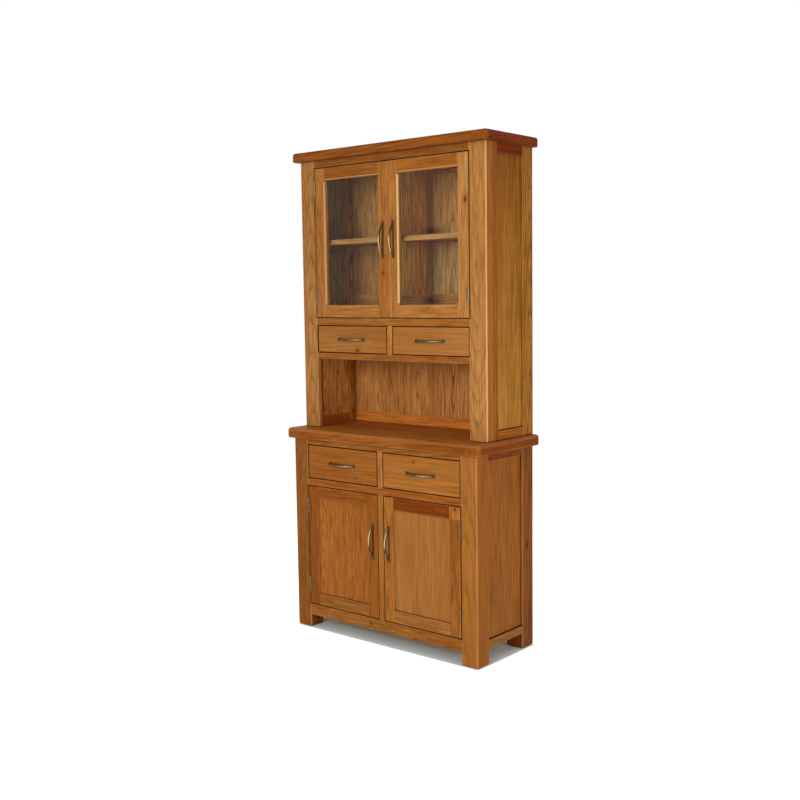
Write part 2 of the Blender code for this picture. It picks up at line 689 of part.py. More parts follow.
# Bow handle along X, its feet on the plane Y = 0 and its bow towards -Y
def handle_mesh(material):
    foot_middle = (HANDLE_LENGTH - FOOT_LENGTH) / 2
    start = FOOT_HEIGHT / 2
    rise = HANDLE_PROJECTION - BOW_THICKNESS / 2 - start
    radius = (foot_middle ** 2 + rise ** 2) / (2 * rise)
    sweep = asin(foot_middle / radius)
    rings = []
    for i in range(BOW_STATIONS):
        share = 2 * i / (BOW_STATIONS - 1) - 1
        angle = sweep * share
        fullness = cos(share * pi / 2)
        half_width = (NECK_WIDTH + (BOW_WIDTH - NECK_WIDTH) * fullness) / 2
        half_thickness = (NECK_THICKNESS + (BOW_THICKNESS - NECK_THICKNESS) * fullness) / 2
        section = rounded_rectangle(-half_width, half_width, -half_thickness, half_thickness,
                                    2 * half_thickness * BOW_ROUND_SHARE, ARRIS_STEPS)
        ring = []
        for across, out in section:
            reach = radius + out
            ring.append((reach * sin(angle), -(start + rise - radius + reach * cos(angle)), across))
        rings.append(ring)
    bow = add_piece("bow", loft(bmesh.new(), rings), [material])
    feet = bmesh.new()
    for side in (LEFT, RIGHT):
        middle = side * foot_middle
        levels = []
        for inset, height in ((0, 0), (0, FOOT_HEIGHT / 2), (FOOT_TAPER, FOOT_HEIGHT)):
            half_length = FOOT_LENGTH / 2 - inset
            half_width = FOOT_WIDTH / 2 - inset
            outline = rounded_rectangle(middle - half_length, middle + half_length, -half_width, half_width,
                                        FOOT_CORNER, ARRIS_STEPS)
            levels.append(ring_across_y(outline, -height))
        loft(feet, levels)
    feet_piece = add_piece("feet", feet, [material])
    combine(bow, feet_piece, "UNION")
    bpy.context.view_layer.update()
    evaluated = bow.evaluated_get(bpy.context.evaluated_depsgraph_get())
    mesh = bpy.data.meshes.new_from_object(evaluated)
    mesh.name = "bow_handle"
    mesh.shade_smooth()
    mesh.set_sharp_from_angle(angle=SHARP_ANGLE)
    bpy.data.objects.remove(bow, do_unlink=True)
    bpy.data.objects.remove(feet_piece, do_unlink=True)
    return mesh


# A handle on a moving body, upright on a door and level on a drawer
def fit_handle(name, mesh, carrier, place, upright):
    handle = bpy.data.objects.new(name, mesh)
    handle.parent = carrier
    handle.location = Vector(place) - carrier.location
    if upright:
        handle.rotation_euler = (0, pi / 2, 0)
    bpy.context.scene.collection.objects.link(handle)


# Dovetails of a drawer side as outlines in Y and Z, grown all round by the clearance given
def tail_outlines(shoulder_y, z0, height, clearance, overrun):
    count = max(2, round(height / TAIL_PITCH))
    pitch = height / count
    outlines = []
    for i in range(count):
        middle = z0 + pitch * (i + 1 / 2)
        root = pitch * TAIL_ROOT_SHARE / 2 + clearance
        tip_y = shoulder_y - TAIL_LENGTH - clearance
        end_y = shoulder_y + overrun
        tip = root + (shoulder_y - tip_y) * TAIL_SLOPE
        end = root - overrun * TAIL_SLOPE
        outlines.append([(end_y, middle - end), (tip_y, middle - tip),
                         (tip_y, middle + tip), (end_y, middle + end)])
    return outlines


# Drawer: a front dovetailed to a box that runs on the deck
def build_drawer(name, side, unit, mesh):
    face_y = unit["face_y"]
    z0, z1 = unit["drawer_span"]
    x0, x1 = sided(side, MUNTIN_WIDTH / 2 + DRAWER_GAP, unit["inner_x"] - DRAWER_GAP)
    low, high = z0 + DRAWER_GAP, z1 - DRAWER_GAP
    middle = Vector(((x0 + x1) / 2, face_y, (low + high) / 2))
    carrier = add_carrier(name + "_slide", middle)
    rear_y = face_y + DRAWER_FRONT_THICKNESS
    rings = []
    for step in range(ARRIS_STEPS + 1):
        angle = pi / 2 * step / ARRIS_STEPS
        inset = DRAWER_FRONT_ROUND * (1 - sin(angle))
        back = DRAWER_FRONT_ROUND * (1 - cos(angle))
        outline = [(x0 + inset, low + inset), (x1 - inset, low + inset),
                   (x1 - inset, high - inset), (x0 + inset, high - inset)]
        rings.append(ring_across_y(outline, face_y + back))
    rings.append(ring_across_y([(x0, low), (x1, low), (x1, high), (x0, high)], rear_y))
    front = add_piece(name + "_front", loft(bmesh.new(), rings), [OAK_FRONT], carrier)

    box_z0 = z0 + FIT_GAP
    height = z1 - BOX_TOP_CLEARANCE - box_z0
    shoulder_y = rear_y + FIT_GAP
    end_y = BACK_Y - BOX_REAR_CLEARANCE
    outer = {LEFT: x0 + BOX_INSET, RIGHT: x1 - BOX_INSET}
    sides = bmesh.new()
    sockets = bmesh.new()
    for wall in (LEFT, RIGHT):
        inner = outer[wall] - wall * BOX_WALL
        outline = [(end_y, box_z0), (end_y, box_z0 + height), (shoulder_y, box_z0 + height)]
        for tail in reversed(tail_outlines(shoulder_y, box_z0, height, 0, 0)):
            outline += list(reversed(tail))
        outline.append((shoulder_y, box_z0))
        prism(sides, outline, ring_across_x, inner, outer[wall])
        for socket in tail_outlines(shoulder_y, box_z0, height, FIT_GAP, CUT_OVERRUN):
            prism(sockets, socket, ring_across_x, inner - wall * FIT_GAP, outer[wall] + wall * CUT_OVERRUN)
    combine(front, add_tool(name + "_sockets", sockets, carrier=carrier), "DIFFERENCE")
    box = add_piece(name + "_box", sides, [OAK_INSIDE], carrier)
    bottom_z = box_z0 + BOX_BOTTOM_RISE
    bottom_top_z = bottom_z + BOX_BOTTOM_THICKNESS
    back_y = end_y - BOX_BACK_INSET
    back_top_z = box_z0 + height - BOX_BACK_DROP
    tray = [(shoulder_y, bottom_z), (back_y, bottom_z), (back_y, back_top_z),
            (back_y - BOX_WALL, back_top_z), (back_y - BOX_WALL, bottom_top_z), (shoulder_y, bottom_top_z)]
    tongue_inset = BOX_WALL - BOX_TONGUE
    solid = prism(bmesh.new(), tray, ring_across_x, outer[LEFT] + tongue_inset, outer[RIGHT] - tongue_inset)
    combine(box, add_tool(name + "_tray", solid, [OAK_INSIDE], carrier), "UNION")
    fit_handle(name + "_handle", mesh, carrier, (middle.x, face_y - FIT_GAP, middle.z), False)


# Materials
OAK_FRONT = oak_material("oak_front", (0.36, 0.15, 0.045))
OAK_SIDE = oak_material("oak_side", (0.29, 0.13, 0.035))
OAK_TOP = oak_material("oak_top", (0.24, 0.085, 0.025))
OAK_PANEL = oak_material("oak_panel", (0.33, 0.15, 0.05))
OAK_INSIDE = oak_material("oak_inside", (0.30, 0.16, 0.07))
BRASS = brass_material("antique_brass", (0.30, 0.21, 0.10))
GLASS = glass_material("clear_glass")

HANDLE_MESH = handle_mesh(BRASS)
HINGE_MESHES = {side: fixed_hinge_mesh(side, BRASS) for side in (LEFT, RIGHT)}

# Base
BOARD_REAR_Y = BACK_Y - FIT_GAP
posts = {}
for side in (LEFT, RIGHT):
    side_name = SIDE_NAMES[side]
    posts["base", side] = build_leg("base_leg_front_" + side_name, side, FRONT_Y, OAK_FRONT)
    build_leg("base_leg_back_" + side_name, side, REAR_Y - LEG_DEPTH, OAK_SIDE)
    side_levels = (BASE_SIDE_CLEARANCE, BASE_SIDE_CLEARANCE + BASE_SIDE_BOTTOM_RAIL,
                   CARCASS_TOP_Z - BASE_SIDE_TOP_RAIL, CARCASS_TOP_Z - FIT_GAP)
    build_side("base_side_" + side_name, side, HALF_WIDTH - BASE_SIDE_SET_BACK, BASE_SIDE_THICKNESS,
               FRONT_Y + LEG_DEPTH + FIT_GAP, REAR_Y - LEG_DEPTH - FIT_GAP, side_levels,
               (PANEL_RECESS, PANEL_INNER_RECESS), OAK_SIDE)
build_top("base_top", HALF_WIDTH + WORKTOP_SIDE_OVERHANG, FRONT_Y - WORKTOP_FRONT_OVERHANG,
          CARCASS_TOP_Z, WORKTOP_THICKNESS, OAK_TOP)
base_rail_half = LEG_INNER_X - FIT_GAP
build_front_rail("base_top_rail", base_rail_half, BASE_FACE_Y,
                 BASE_DRAWER_TOP_Z, CARCASS_TOP_Z - FIT_GAP, False, OAK_FRONT)
build_front_rail("base_bottom_rail", base_rail_half, BASE_FACE_Y,
                 BASE_RAIL_CLEARANCE, BASE_FLOOR_Z, False, OAK_FRONT)
deck_cuts = leg_clearances(BASE_DOOR_TOP_Z - STOP_DROP - CUT_OVERRUN, BASE_DECK_Z + CUT_OVERRUN)
base_deck = build_deck("base_drawer_deck", BASE_INNER_X - FIT_GAP, BASE_FACE_Y, BASE_MIDDLE_RAIL_HEIGHT,
                       BASE_DECK_Z, BOARD_REAR_Y, True, deck_cuts, OAK_FRONT)
build_drawer_guides("base_drawer_guides", base_deck, BASE_FACE_Y, BASE_DECK_Z, BASE_DRAWER_TOP_Z,
                    LEG_INNER_X, FRONT_Y + LEG_DEPTH, REAR_Y - LEG_DEPTH - FIT_GAP, OAK_FRONT)
muntin_rear_y = BASE_FACE_Y + DOOR_THICKNESS + STOP_CLEARANCE - FIT_GAP
muntin_outline = rounded_rectangle(-MUNTIN_WIDTH / 2, MUNTIN_WIDTH / 2, BASE_FACE_Y, muntin_rear_y,
                                   ARRIS, ARRIS_STEPS)
muntin = prism(bmesh.new(), muntin_outline, ring_across_z, BASE_FLOOR_Z + FIT_GAP, BASE_DOOR_TOP_Z - FIT_GAP)
add_piece("base_door_muntin", muntin, [OAK_FRONT])
base_back_levels = (BASE_SIDE_CLEARANCE, BASE_FLOOR_Z,
                    CARCASS_TOP_Z - BACK_TOP_RAIL, CARCASS_TOP_Z - FIT_GAP)
build_back("base_back", base_rail_half, base_back_levels, OAK_INSIDE)
build_notched_board("base_floor", BASE_FACE_Y + RAIL_DEPTH + FIT_GAP, BASE_FLOOR_Z, OAK_INSIDE)
build_notched_board("base_shelf", BASE_FACE_Y + BASE_SHELF_SET_BACK, BASE_SHELF_HEIGHT, OAK_INSIDE)

# Hutch
for side in (LEFT, RIGHT):
    side_name = SIDE_NAMES[side]
    posts["hutch", side] = build_front_post("hutch_post_front_" + side_name, side, OAK_FRONT)
    build_rear_post("hutch_post_back_" + side_name, side, OAK_SIDE)
    side_levels = (WORKTOP_HEIGHT + FIT_GAP, WORKTOP_HEIGHT + HUTCH_SIDE_BOTTOM_RAIL,
                   CORNICE_Z - HUTCH_SIDE_TOP_RAIL, CORNICE_Z - FIT_GAP)
    build_side("hutch_side_" + side_name, side, HALF_WIDTH, HUTCH_SIDE_THICKNESS,
               HUTCH_FRONT_Y + POST_DEPTH + FIT_GAP, REAR_Y - REAR_POST_DEPTH - FIT_GAP, side_levels,
               (PANEL_RECESS, HUTCH_PANEL_INNER_RECESS), OAK_SIDE)
    build_hutch_shelf("hutch_shelf_" + side_name, side, OAK_INSIDE)
build_top("hutch_top", HALF_WIDTH + CORNICE_SIDE_OVERHANG, HUTCH_FRONT_Y - CORNICE_FRONT_OVERHANG,
          CORNICE_Z, CORNICE_THICKNESS, OAK_TOP)
build_front_rail("hutch_top_rail", POST_INNER_X - FIT_GAP, HUTCH_FACE_Y,
                 HUTCH_DOOR_TOP_Z, CORNICE_Z - FIT_GAP, True, OAK_FRONT)
hutch_board_half = HUTCH_INNER_X - FIT_GAP
floor_cuts = flange_clearances(HUTCH_DRAWER_TOP_Z - CUT_OVERRUN, CUPBOARD_FLOOR_Z + CUT_OVERRUN)
build_deck("hutch_cupboard_floor", hutch_board_half, HUTCH_FACE_Y, HUTCH_MIDDLE_RAIL_HEIGHT,
           CUPBOARD_FLOOR_Z, BOARD_REAR_Y, False, floor_cuts, OAK_FRONT)
deck_cuts = flange_clearances(NICHE_TOP_Z - CUT_OVERRUN, HUTCH_DECK_Z + CUT_OVERRUN)
hutch_deck = build_deck("hutch_drawer_deck", hutch_board_half, HUTCH_FACE_Y, HUTCH_LOWER_RAIL_HEIGHT,
                        HUTCH_DECK_Z, BOARD_REAR_Y, False, deck_cuts, OAK_FRONT)
build_drawer_guides("hutch_drawer_guides", hutch_deck, HUTCH_FACE_Y, HUTCH_DECK_Z, HUTCH_DRAWER_TOP_Z,
                    POST_INNER_X, HUTCH_FRONT_Y + POST_FLANGE, BOARD_REAR_Y, OAK_FRONT)
hutch_back_levels = (WORKTOP_HEIGHT + FIT_GAP, WORKTOP_HEIGHT + HUTCH_BACK_BOTTOM_RAIL,
                     HUTCH_DECK_Z - BOARD_THICKNESS, CUPBOARD_FLOOR_Z + HUTCH_BACK_MIDDLE_RAIL_RISE,
                     CORNICE_Z - BACK_TOP_RAIL, CORNICE_Z - FIT_GAP)
build_back("hutch_back", hutch_board_half, hutch_back_levels, OAK_INSIDE)
build_partition("hutch_partition", OAK_INSIDE)

# Doors and drawers of each unit
UNITS = {
    "base": {"inner_x": LEG_INNER_X, "free_x": MUNTIN_WIDTH / 2 + DOOR_GAP, "face_y": BASE_FACE_Y,
             "door_span": (BASE_FLOOR_Z, BASE_DOOR_TOP_Z), "handle_z": BASE_DOOR_TOP_Z - BASE_HANDLE_DROP,
             "drawer_span": (BASE_DECK_Z, BASE_DRAWER_TOP_Z),
             "held": {"name": "panel", "recess": DOOR_PANEL_RECESS, "thickness": DOOR_PANEL_THICKNESS},
             "materials": {"frame": OAK_FRONT, "held": OAK_PANEL, "brass": BRASS}},
    "hutch": {"inner_x": POST_INNER_X, "free_x": DOOR_GAP / 2, "face_y": HUTCH_FACE_Y,
              "door_span": (CUPBOARD_FLOOR_Z, HUTCH_DOOR_TOP_Z),
              "handle_z": (CUPBOARD_FLOOR_Z + HUTCH_DOOR_TOP_Z) / 2,
              "drawer_span": (HUTCH_DECK_Z, HUTCH_DRAWER_TOP_Z),
              "held": {"name": "glass", "recess": PANE_RECESS, "thickness": PANE_THICKNESS},
              "materials": {"frame": OAK_FRONT, "held": GLASS, "brass": BRASS}},
}
for unit_name, unit in UNITS.items():
    for side in (LEFT, RIGHT):
        name = unit_name + "_door_" + SIDE_NAMES[side]
        hinge_x = unit["inner_x"] - DOOR_GAP / 2
        carrier, heights = build_door(name, side, hinge_x, unit)
        fit_hinges(name, posts[unit_name, side], HINGE_MESHES[side], carrier, heights)
        handle_x = side * (unit["free_x"] + DOOR_MEMBER / 2)
        handle_place = (handle_x, unit["face_y"] - FIT_GAP, unit["handle_z"])
        fit_handle(name + "_handle", HANDLE_MESH, carrier, handle_place, True)
        build_drawer(unit_name + "_drawer_" + SIDE_NAMES[side], side, unit, HANDLE_MESH)
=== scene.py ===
import bmesh
import bpy
import numpy as np
from mathutils import Matrix, Vector


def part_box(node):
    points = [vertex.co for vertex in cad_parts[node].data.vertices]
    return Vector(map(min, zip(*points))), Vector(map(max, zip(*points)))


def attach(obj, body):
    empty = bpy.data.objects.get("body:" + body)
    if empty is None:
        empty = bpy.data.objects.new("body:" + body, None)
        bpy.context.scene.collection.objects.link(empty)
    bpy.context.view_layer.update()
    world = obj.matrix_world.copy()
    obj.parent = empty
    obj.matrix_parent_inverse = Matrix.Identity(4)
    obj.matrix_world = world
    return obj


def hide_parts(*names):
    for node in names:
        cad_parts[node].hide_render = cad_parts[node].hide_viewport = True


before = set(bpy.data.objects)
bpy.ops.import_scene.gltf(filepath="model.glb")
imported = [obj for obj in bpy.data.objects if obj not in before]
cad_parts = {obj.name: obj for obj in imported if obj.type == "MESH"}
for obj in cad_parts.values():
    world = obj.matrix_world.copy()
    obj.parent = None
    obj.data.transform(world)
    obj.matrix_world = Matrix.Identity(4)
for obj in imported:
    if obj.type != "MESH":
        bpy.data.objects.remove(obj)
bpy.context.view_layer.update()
print("frame loaded:", len(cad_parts), "nodes")

chance = np.random.default_rng(11)  # one seeded source for what differs from board to board
acrossAxes = {0: [1, 2], 1: [0, 2], 2: [0, 1]}


def operator(operation, reflected=False):  # a method that joins a wire and another value, in either order
    def join(self, other):
        return self.paint.sum(operation, *((other, self) if reflected else (self, other)))
    return join


class Wire:  # a shader socket that turns + - * / and abs() into Math nodes
    __add__, __radd__ = operator("ADD"), operator("ADD", True)
    __sub__, __rsub__ = operator("SUBTRACT"), operator("SUBTRACT", True)
    __mul__, __rmul__ = operator("MULTIPLY"), operator("MULTIPLY", True)
    __truediv__, __rtruediv__ = operator("DIVIDE"), operator("DIVIDE", True)

    def __init__(self, paint, socket):
        self.paint = paint
        self.socket = socket

    def __abs__(self):
        return self.paint.sum("ABSOLUTE", self)


class Paint:  # the nodes of one material or of the world, while they are put together
    def __init__(self, holder):
        holder.use_nodes = True
        self.holder = holder
        self.tree = holder.node_tree
        self.shader = self.tree.nodes.get("Principled BSDF")

    def plug(self, socket, value):
        if isinstance(value, Wire):
            self.tree.links.new(value.socket, socket)
        else:
            socket.default_value = value

    def node(self, kind, settings=None, sockets=None, out=0):  # settings come first, then sockets by name or number
        made = self.tree.nodes.new(kind)
        for key, value in (settings or {}).items():
            setattr(made, key, value)
        for key, value in (sockets or {}).items():
            self.plug(made.inputs[key], value)
        return Wire(self, made.outputs[out])

    def sum(self, operation, a, b=0.0, clamp=False):
        return self.node("ShaderNodeMath", {"operation": operation, "use_clamp": clamp}, {0: a, 1: b})

    def clamp(self, value):
        return self.sum("ADD", value, 0.0, clamp=True)

    def most(self, first, *others):
        for other in others:
            first = self.sum("MAXIMUM", first, other)
        return first

    def vector(self, operation, a, b=(0, 0, 0), out=0):  # b is a number where a vector is scaled
        second = "Scale" if operation == "SCALE" else 1
        return self.node("ShaderNodeVectorMath", {"operation": operation}, {0: a, second: b}, out)

    def dot(self, a, b):
        return self.vector("DOT_PRODUCT", a, b, "Value")

    def length(self, a):
        return self.vector("LENGTH", a, out="Value")

    def noise(self, place, scale, detail=2.0, rough=0.5, out=0):
        return self.node("ShaderNodeTexNoise", None,
                         {"Vector": place, "Scale": scale, "Detail": detail, "Roughness": rough}, out)

    def blend(self, amount, a, b):
        return self.node("ShaderNodeMix", {"data_type": "RGBA"}, {0: amount, 6: a, 7: b}, out=2)

    def attribute(self, name, out="Vector"):
        return self.node("ShaderNodeAttribute", {"attribute_name": name}, out=out)

    def place(self):
        return self.node("ShaderNodeTexCoord", out="Object")

    def bump(self, height, strength, distance):
        return self.node("ShaderNodeBump", None, {"Strength": strength, "Distance": distance, "Height": height})

    def set(self, **values):  # sockets of the Principled shader, with _ for a space
        for key, value in values.items():
            self.plug(self.shader.inputs[key.replace("_", " ")], value)

    def seeThrough(self, amount, colour=(1, 1, 1, 1)):  # the surface gives way to clear transparency by an amount
        clear = self.node("ShaderNodeBsdfTransparent", None, {"Color": colour})
        mixed = self.node("ShaderNodeMixShader", None, {0: amount, 1: Wire(self, self.shader.outputs[0]), 2: clear})
        self.plug(self.tree.nodes["Material Output"].inputs["Surface"], mixed)


def rgba(colour):
    return (*colour, 1.0)


oakLook = {
    "light": (0.53, 0.196, 0.036), "dark": (0.165, 0.044, 0.0040), "red": (0.32, 0.086, 0.009),
    # gap: the colour of the painted shade in gaps, seams and corners and of the painted shadow behind the handles'
    # bows
    # the pale colour after gap: that of the painted highlight on rounded edges
    "knot": (0.075, 0.020, 0.004), "gap": (0.050, 0.011, 0.0008), "paintedHighlight": (0.84, 0.49, 0.21),
    "ringWidth": 0.0056, "ringDepth": 0.55, "wander": 0.008,
    "streakDepth": 1.0, "blotchDepth": 0.50, "poreDepth": 0.40, "ground": 0.27,
    "roughness": 0.42, "coat": 0.02, "specular": 0.03,
}
tints = {
    "plain": (1, 1, 1), "golden": (1, 1.08, 1.4), "pale": (1, 1.2, 1.85), "amber": (1, 0.9, 0.82),
    "russet": (1, 0.8, 0.6), "red": (1, 0.60, 0.26), "olive": (1, 1.1, 0.82), "grey": (1, 1.25, 1.9),
    "deep": (1, 0.38, 0.12),
}
# Painted shade round the gaps, the seams and the hutch's foot, the painted shadow behind the handles' bows and the
# painted shade in the corners behind the glass
gapPlan = {
    "reach": 0.0027, "seam": 0.0013, "soft": 0.0010, "strength": 0.92, "member": 0.0495, "halfGap": 0.0015,
    "behind": 0.001, "grime": 0.72, "handleShadowSoft": 0.003, "footInset": 0.018, "upright": 0.3,
    "side": {"base": 0.033, "hutch": 0.036}, "sideX": 0.43, "sideSeam": 0.0022,
    # corners: places of painted shade behind the glass, with their shape, reach, fade towards the back and depth
    "corners": [(-0.37, 0.115, 1.582), (-0.37, 0.110, 1.311), (0.010, 0.150, 1.582), (0.010, 0.150, 1.313)],
    "cornerShape": (0.8, 0.8, 2.0), "cornerReach": 0.056, "cornerBack": 0.170, "cornerFade": 20.0,
    "cornerDepth": 0.9,
}


# How far a point lies outside a box's outline, as seen along the axis left out, with the outline drawn wider
def outsideOf(paint, place, low, high, axes, wider=0.0):
    return paint.most(*[abs(place[axis] - (low[axis] + high[axis]) / 2) - ((high[axis] - low[axis]) / 2 + wider)
                        for axis in axes])


# Painted shade in lines, from how near a point lies to outlines, the same left and right: in the gaps round doors
# and drawers, at the seams of panels and round the hutch's foot; a painted shadow behind the bows of the handles;
# and painted shade in the corners behind the glass
def paintedShade(paint, spot, plan=gapPlan):
    x, y, z = [paint.node("ShaderNodeSeparateXYZ", None, {0: spot}, index) for index in range(3)]
    place, soft = [abs(x), y, z], plan["soft"]
    lines = [0.0]
    for front in ("base_door", "base_drawer", "hutch_drawer", "hutch_door"):
        isDoor = front.endswith("door")
        low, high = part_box(f"{front}_right_{'frame' if isDoor else 'front'}")
        if front == "hutch_door":
            low.x = -high.x  # the two glazed doors meet without a dark line
        outside = outsideOf(paint, place, low, high, (0, 2), plan["halfGap"])
        beyond = y - (high.y + plan["behind"])
        # painted shade in the gap round the front
        lines.append((plan["reach"] - paint.most(abs(outside), beyond)) / soft)
        # painted shade along the edge of the base door's sunk panel
        if front == "base_door":
            strength = paint.clamp((low.z + plan["member"] + 2 * plan["seam"] - z) / soft)
            strength = plan["upright"] + (1 - plan["upright"]) * strength  # full only along the panel's bottom
            seam = paint.most(abs(outside + plan["member"]), beyond)
            lines.append((plan["seam"] - seam) / soft * strength)
        # painted shadow of the handle's bow on the front, between its feet
        low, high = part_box(f"{front}_right_handle")
        along = 2 if isDoor else 0
        low[along] += plan["footInset"]
        high[along] -= plan["footInset"]
        behind = paint.most(outsideOf(paint, place, low, high, (0, 2)), y - (high.y + 2 * plan["handleShadowSoft"]))
        lines.append(paint.clamp(0.0 - behind / plan["handleShadowSoft"]) * plan["grime"])
    # painted shade along the bottom seams of the side panels
    for unit, bottom in plan["side"].items():
        low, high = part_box(f"{unit}_side_right")
        beside = abs(y - (low.y + high.y) / 2) - (high.y - low.y) / 2
        seam = paint.most(abs(z - (low.z + bottom)), plan["sideX"] - place[0], beside)
        lines.append((plan["sideSeam"] - seam) / soft)
    # painted shade round the hutch's foot on the worktop
    low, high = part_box("hutch_post_front_right")
    high.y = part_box("hutch_post_back_right")[1].y
    foot = paint.most(abs(outsideOf(paint, place, low, high, (0, 1))), abs(z - low.z))
    lines.append((plan["reach"] - foot) / soft)
    # painted shade in the corners behind the glass
    for corner in plan["corners"]:
        away = paint.length(paint.vector("MULTIPLY", paint.vector("SUBTRACT", spot, corner), plan["cornerShape"]))
        away = paint.most(away, (y - plan["cornerBack"]) * plan["cornerFade"])
        lines.append(plan["cornerDepth"] - away / plan["cornerReach"])
    return paint.clamp(paint.most(*lines)) * plan["strength"]


growthSizes = {"grainAxis": 3, "grainPith": 3, "grainTone": 3, "grainKnot": 3,
               "grainKnotRadius": 1, "grainFigure": 1, "grainRub": 1}


# Oak: the growth rings are shells round a pith line that leans a little from the stick's length, so a face
# shows straight lines, arches or end grain by how it cuts them, and noise drawn out along the stick adds the rest.
# What tells sticks apart comes from attributes of their faces, or from growth if it is given
def oakFinish(name, growth=None, look=oakLook):
    paint = Paint(bpy.data.materials.new(name))
    place = paint.place()
    axis, pith, tone, knot, knotRadius, figure, rub = [
        growth[label] if growth else paint.attribute(label, "Vector" if size == 3 else "Fac")
        for label, size in growthSizes.items()]
    spot = paint.vector("SUBTRACT", place, pith)
    across = paint.vector("SUBTRACT", spot, paint.vector("SCALE", axis, paint.dot(spot, axis)))
    along = paint.vector("SCALE", axis, paint.dot(place, axis))
    slowPlace = paint.vector("SUBTRACT", place, paint.vector("SCALE", along, 0.86))  # drawn out 7 times
    longPlace = paint.vector("SUBTRACT", place, paint.vector("SCALE", along, 0.95))  # drawn out 20 times

    apart = paint.vector("SUBTRACT", place, knot)
    apart = paint.vector("SUBTRACT", apart, paint.vector("SCALE", axis, paint.dot(apart, axis) * 0.35))
    away = paint.length(apart) / knotRadius + (paint.noise(place, 240.0) - 0.5) * 0.9
    near = paint.clamp(1.0 - away / 4.5)  # the rings bend round the knot up to this many times its radius

    wander = paint.noise(slowPlace, 15.0, 2.0, 0.45, "Color")
    offset = paint.vector("SCALE", paint.vector("SUBTRACT", wander, (0.5, 0.5, 0.5)), 2 * look["wander"])
    radius = paint.length(paint.vector("ADD", across, offset)) + near * near * (3.0 * knotRadius)
    ring = paint.sum("FRACT", radius / look["ringWidth"])
    late = paint.clamp(1.0 - ring * 1.5)
    late = late * late
    streak = paint.noise(longPlace, 120.0, 4.0, 0.64)
    pores = paint.clamp((paint.noise(longPlace, 900.0, 1.0) - 0.52) * 5.0)
    blotch = paint.noise(slowPlace, 9.0)
    strength = paint.clamp(paint.noise(slowPlace, 6.0, 1.0) * 2.2 - 0.45)
    shade = late * strength * look["ringDepth"] + (streak - 0.5) * (2 * look["streakDepth"])
    shade = shade + (blotch - 0.5) * look["blotchDepth"] + pores * (0.35 + late) * look["poreDepth"]
    shade = paint.clamp(shade * figure + look["ground"])
    colour = paint.blend(shade, rgba(look["light"]), rgba(look["dark"]))
    colour = paint.blend(paint.clamp((blotch - 0.5) * 1.6 + near), colour, rgba(look["red"]))
    colour = paint.blend(paint.clamp(1.2 - away * 0.75), colour, rgba(look["knot"]))
    colour = paint.vector("MULTIPLY", colour, tone)
    if growth is None:
        # painted highlight on the rounded edges, as strong as each face carries
        colour = paint.blend(rub * paint.clamp(0.2 + streak * 1.6), colour, rgba(look["paintedHighlight"]))
    # painted shade in gaps, seams and corners and a painted shadow behind the handles
    colour = paint.blend(paintedShade(paint, place), colour, rgba(look["gap"]))
    paint.set(Base_Color=colour, Roughness=paint.clamp(look["roughness"] + shade * 0.16),
              Normal=paint.bump(late * -0.3 - pores, 0.25, 0.0004), Coat_Weight=look["coat"], Coat_Roughness=0.25,
              Specular_IOR_Level=look["specular"])
    return paint.holder


brassLook = {"worn": (0.66, 0.52, 0.31), "patina": (0.040, 0.024, 0.010), "roughness": 0.26}


# Antique brass: a dark patina rubbed through to pale metal where the wear attribute is high; on the handles' bows
# that attribute also carries a painted highlight of pale metal
def brassFinish(name, look=brassLook):
    paint = Paint(bpy.data.materials.new(name))
    place = paint.place()
    cloud = paint.noise(place, 260.0, 4.0, 0.6)
    speck = paint.noise(place, 1400.0)
    worn = paint.clamp(paint.attribute("wear", "Fac") * 1.25 + (cloud - 0.5) * 0.6 - 0.05)
    paint.set(Base_Color=paint.blend(worn, rgba(look["patina"]), rgba(look["worn"])), Metallic=1.0,
              Roughness=paint.clamp(look["roughness"] + (1.0 - worn) * 0.16 + (speck - 0.5) * 0.2),
              Normal=paint.bump(cloud + speck * 0.4, 0.12, 0.0003))
    return paint.holder


# Clear sheet glass, which lets the light of lamps straight through
def glassFinish(name):
    paint = Paint(bpy.data.materials.new(name))
    paint.set(Base_Color=(0.88, 0.93, 0.91, 1), Roughness=0.02, IOR=1.20, Transmission_Weight=1.0)  # reflects little
    paint.seeThrough(paint.node("ShaderNodeLightPath", out="Is Shadow Ray"), (0.74, 0.77, 0.76, 1))
    return paint.holder


def towards(corners, way):  # unit steps from each corner of a right-angled outline to its neighbour
    return np.sign(np.round(np.roll(corners, way, axis=0) - corners, 7))


# Corners of a right-angled outline rounded by quarter circles, whose centres lie one radius in from the
# corner along both of its sides
def roundCorners(corners, radii, steps):
    before, after = towards(corners, 1)[:, None], towards(corners, -1)[:, None]
    radii = np.broadcast_to(radii, len(corners))[:, None, None]
    turn = np.linspace(0, np.pi / 2, steps + 1)[:, None]
    centres = corners[:, None] + (before + after) * radii
    return (centres - radii * (after * np.cos(turn) + before * np.sin(turn))).reshape(-1, 2)


# The same outline moved in by an amount on every side
def insetCorners(corners, amount):
    before, after = towards(corners, 1), towards(corners, -1)
    turns = after[:, 0] * before[:, 1] - after[:, 1] * before[:, 0]
    return corners + (before + after) * (turns * np.sign(turns.sum()))[:, None] * amount


# Quads of a grid of rows and columns, which stays open or runs round and gets a cap at each end
def gridFaces(rows, columns, closed=True):
    i = np.arange(rows - 1)[:, None] * columns
    j = np.arange(columns if closed else columns - 1)[None]
    k = (j + 1) % columns
    faces = np.stack([i + j, i + k, i + columns + k, i + columns + j], axis=-1).reshape(-1, 4).tolist()
    caps = [list(range(columns)), list(range((rows - 1) * columns, rows * columns))]
    return faces + caps if closed else faces


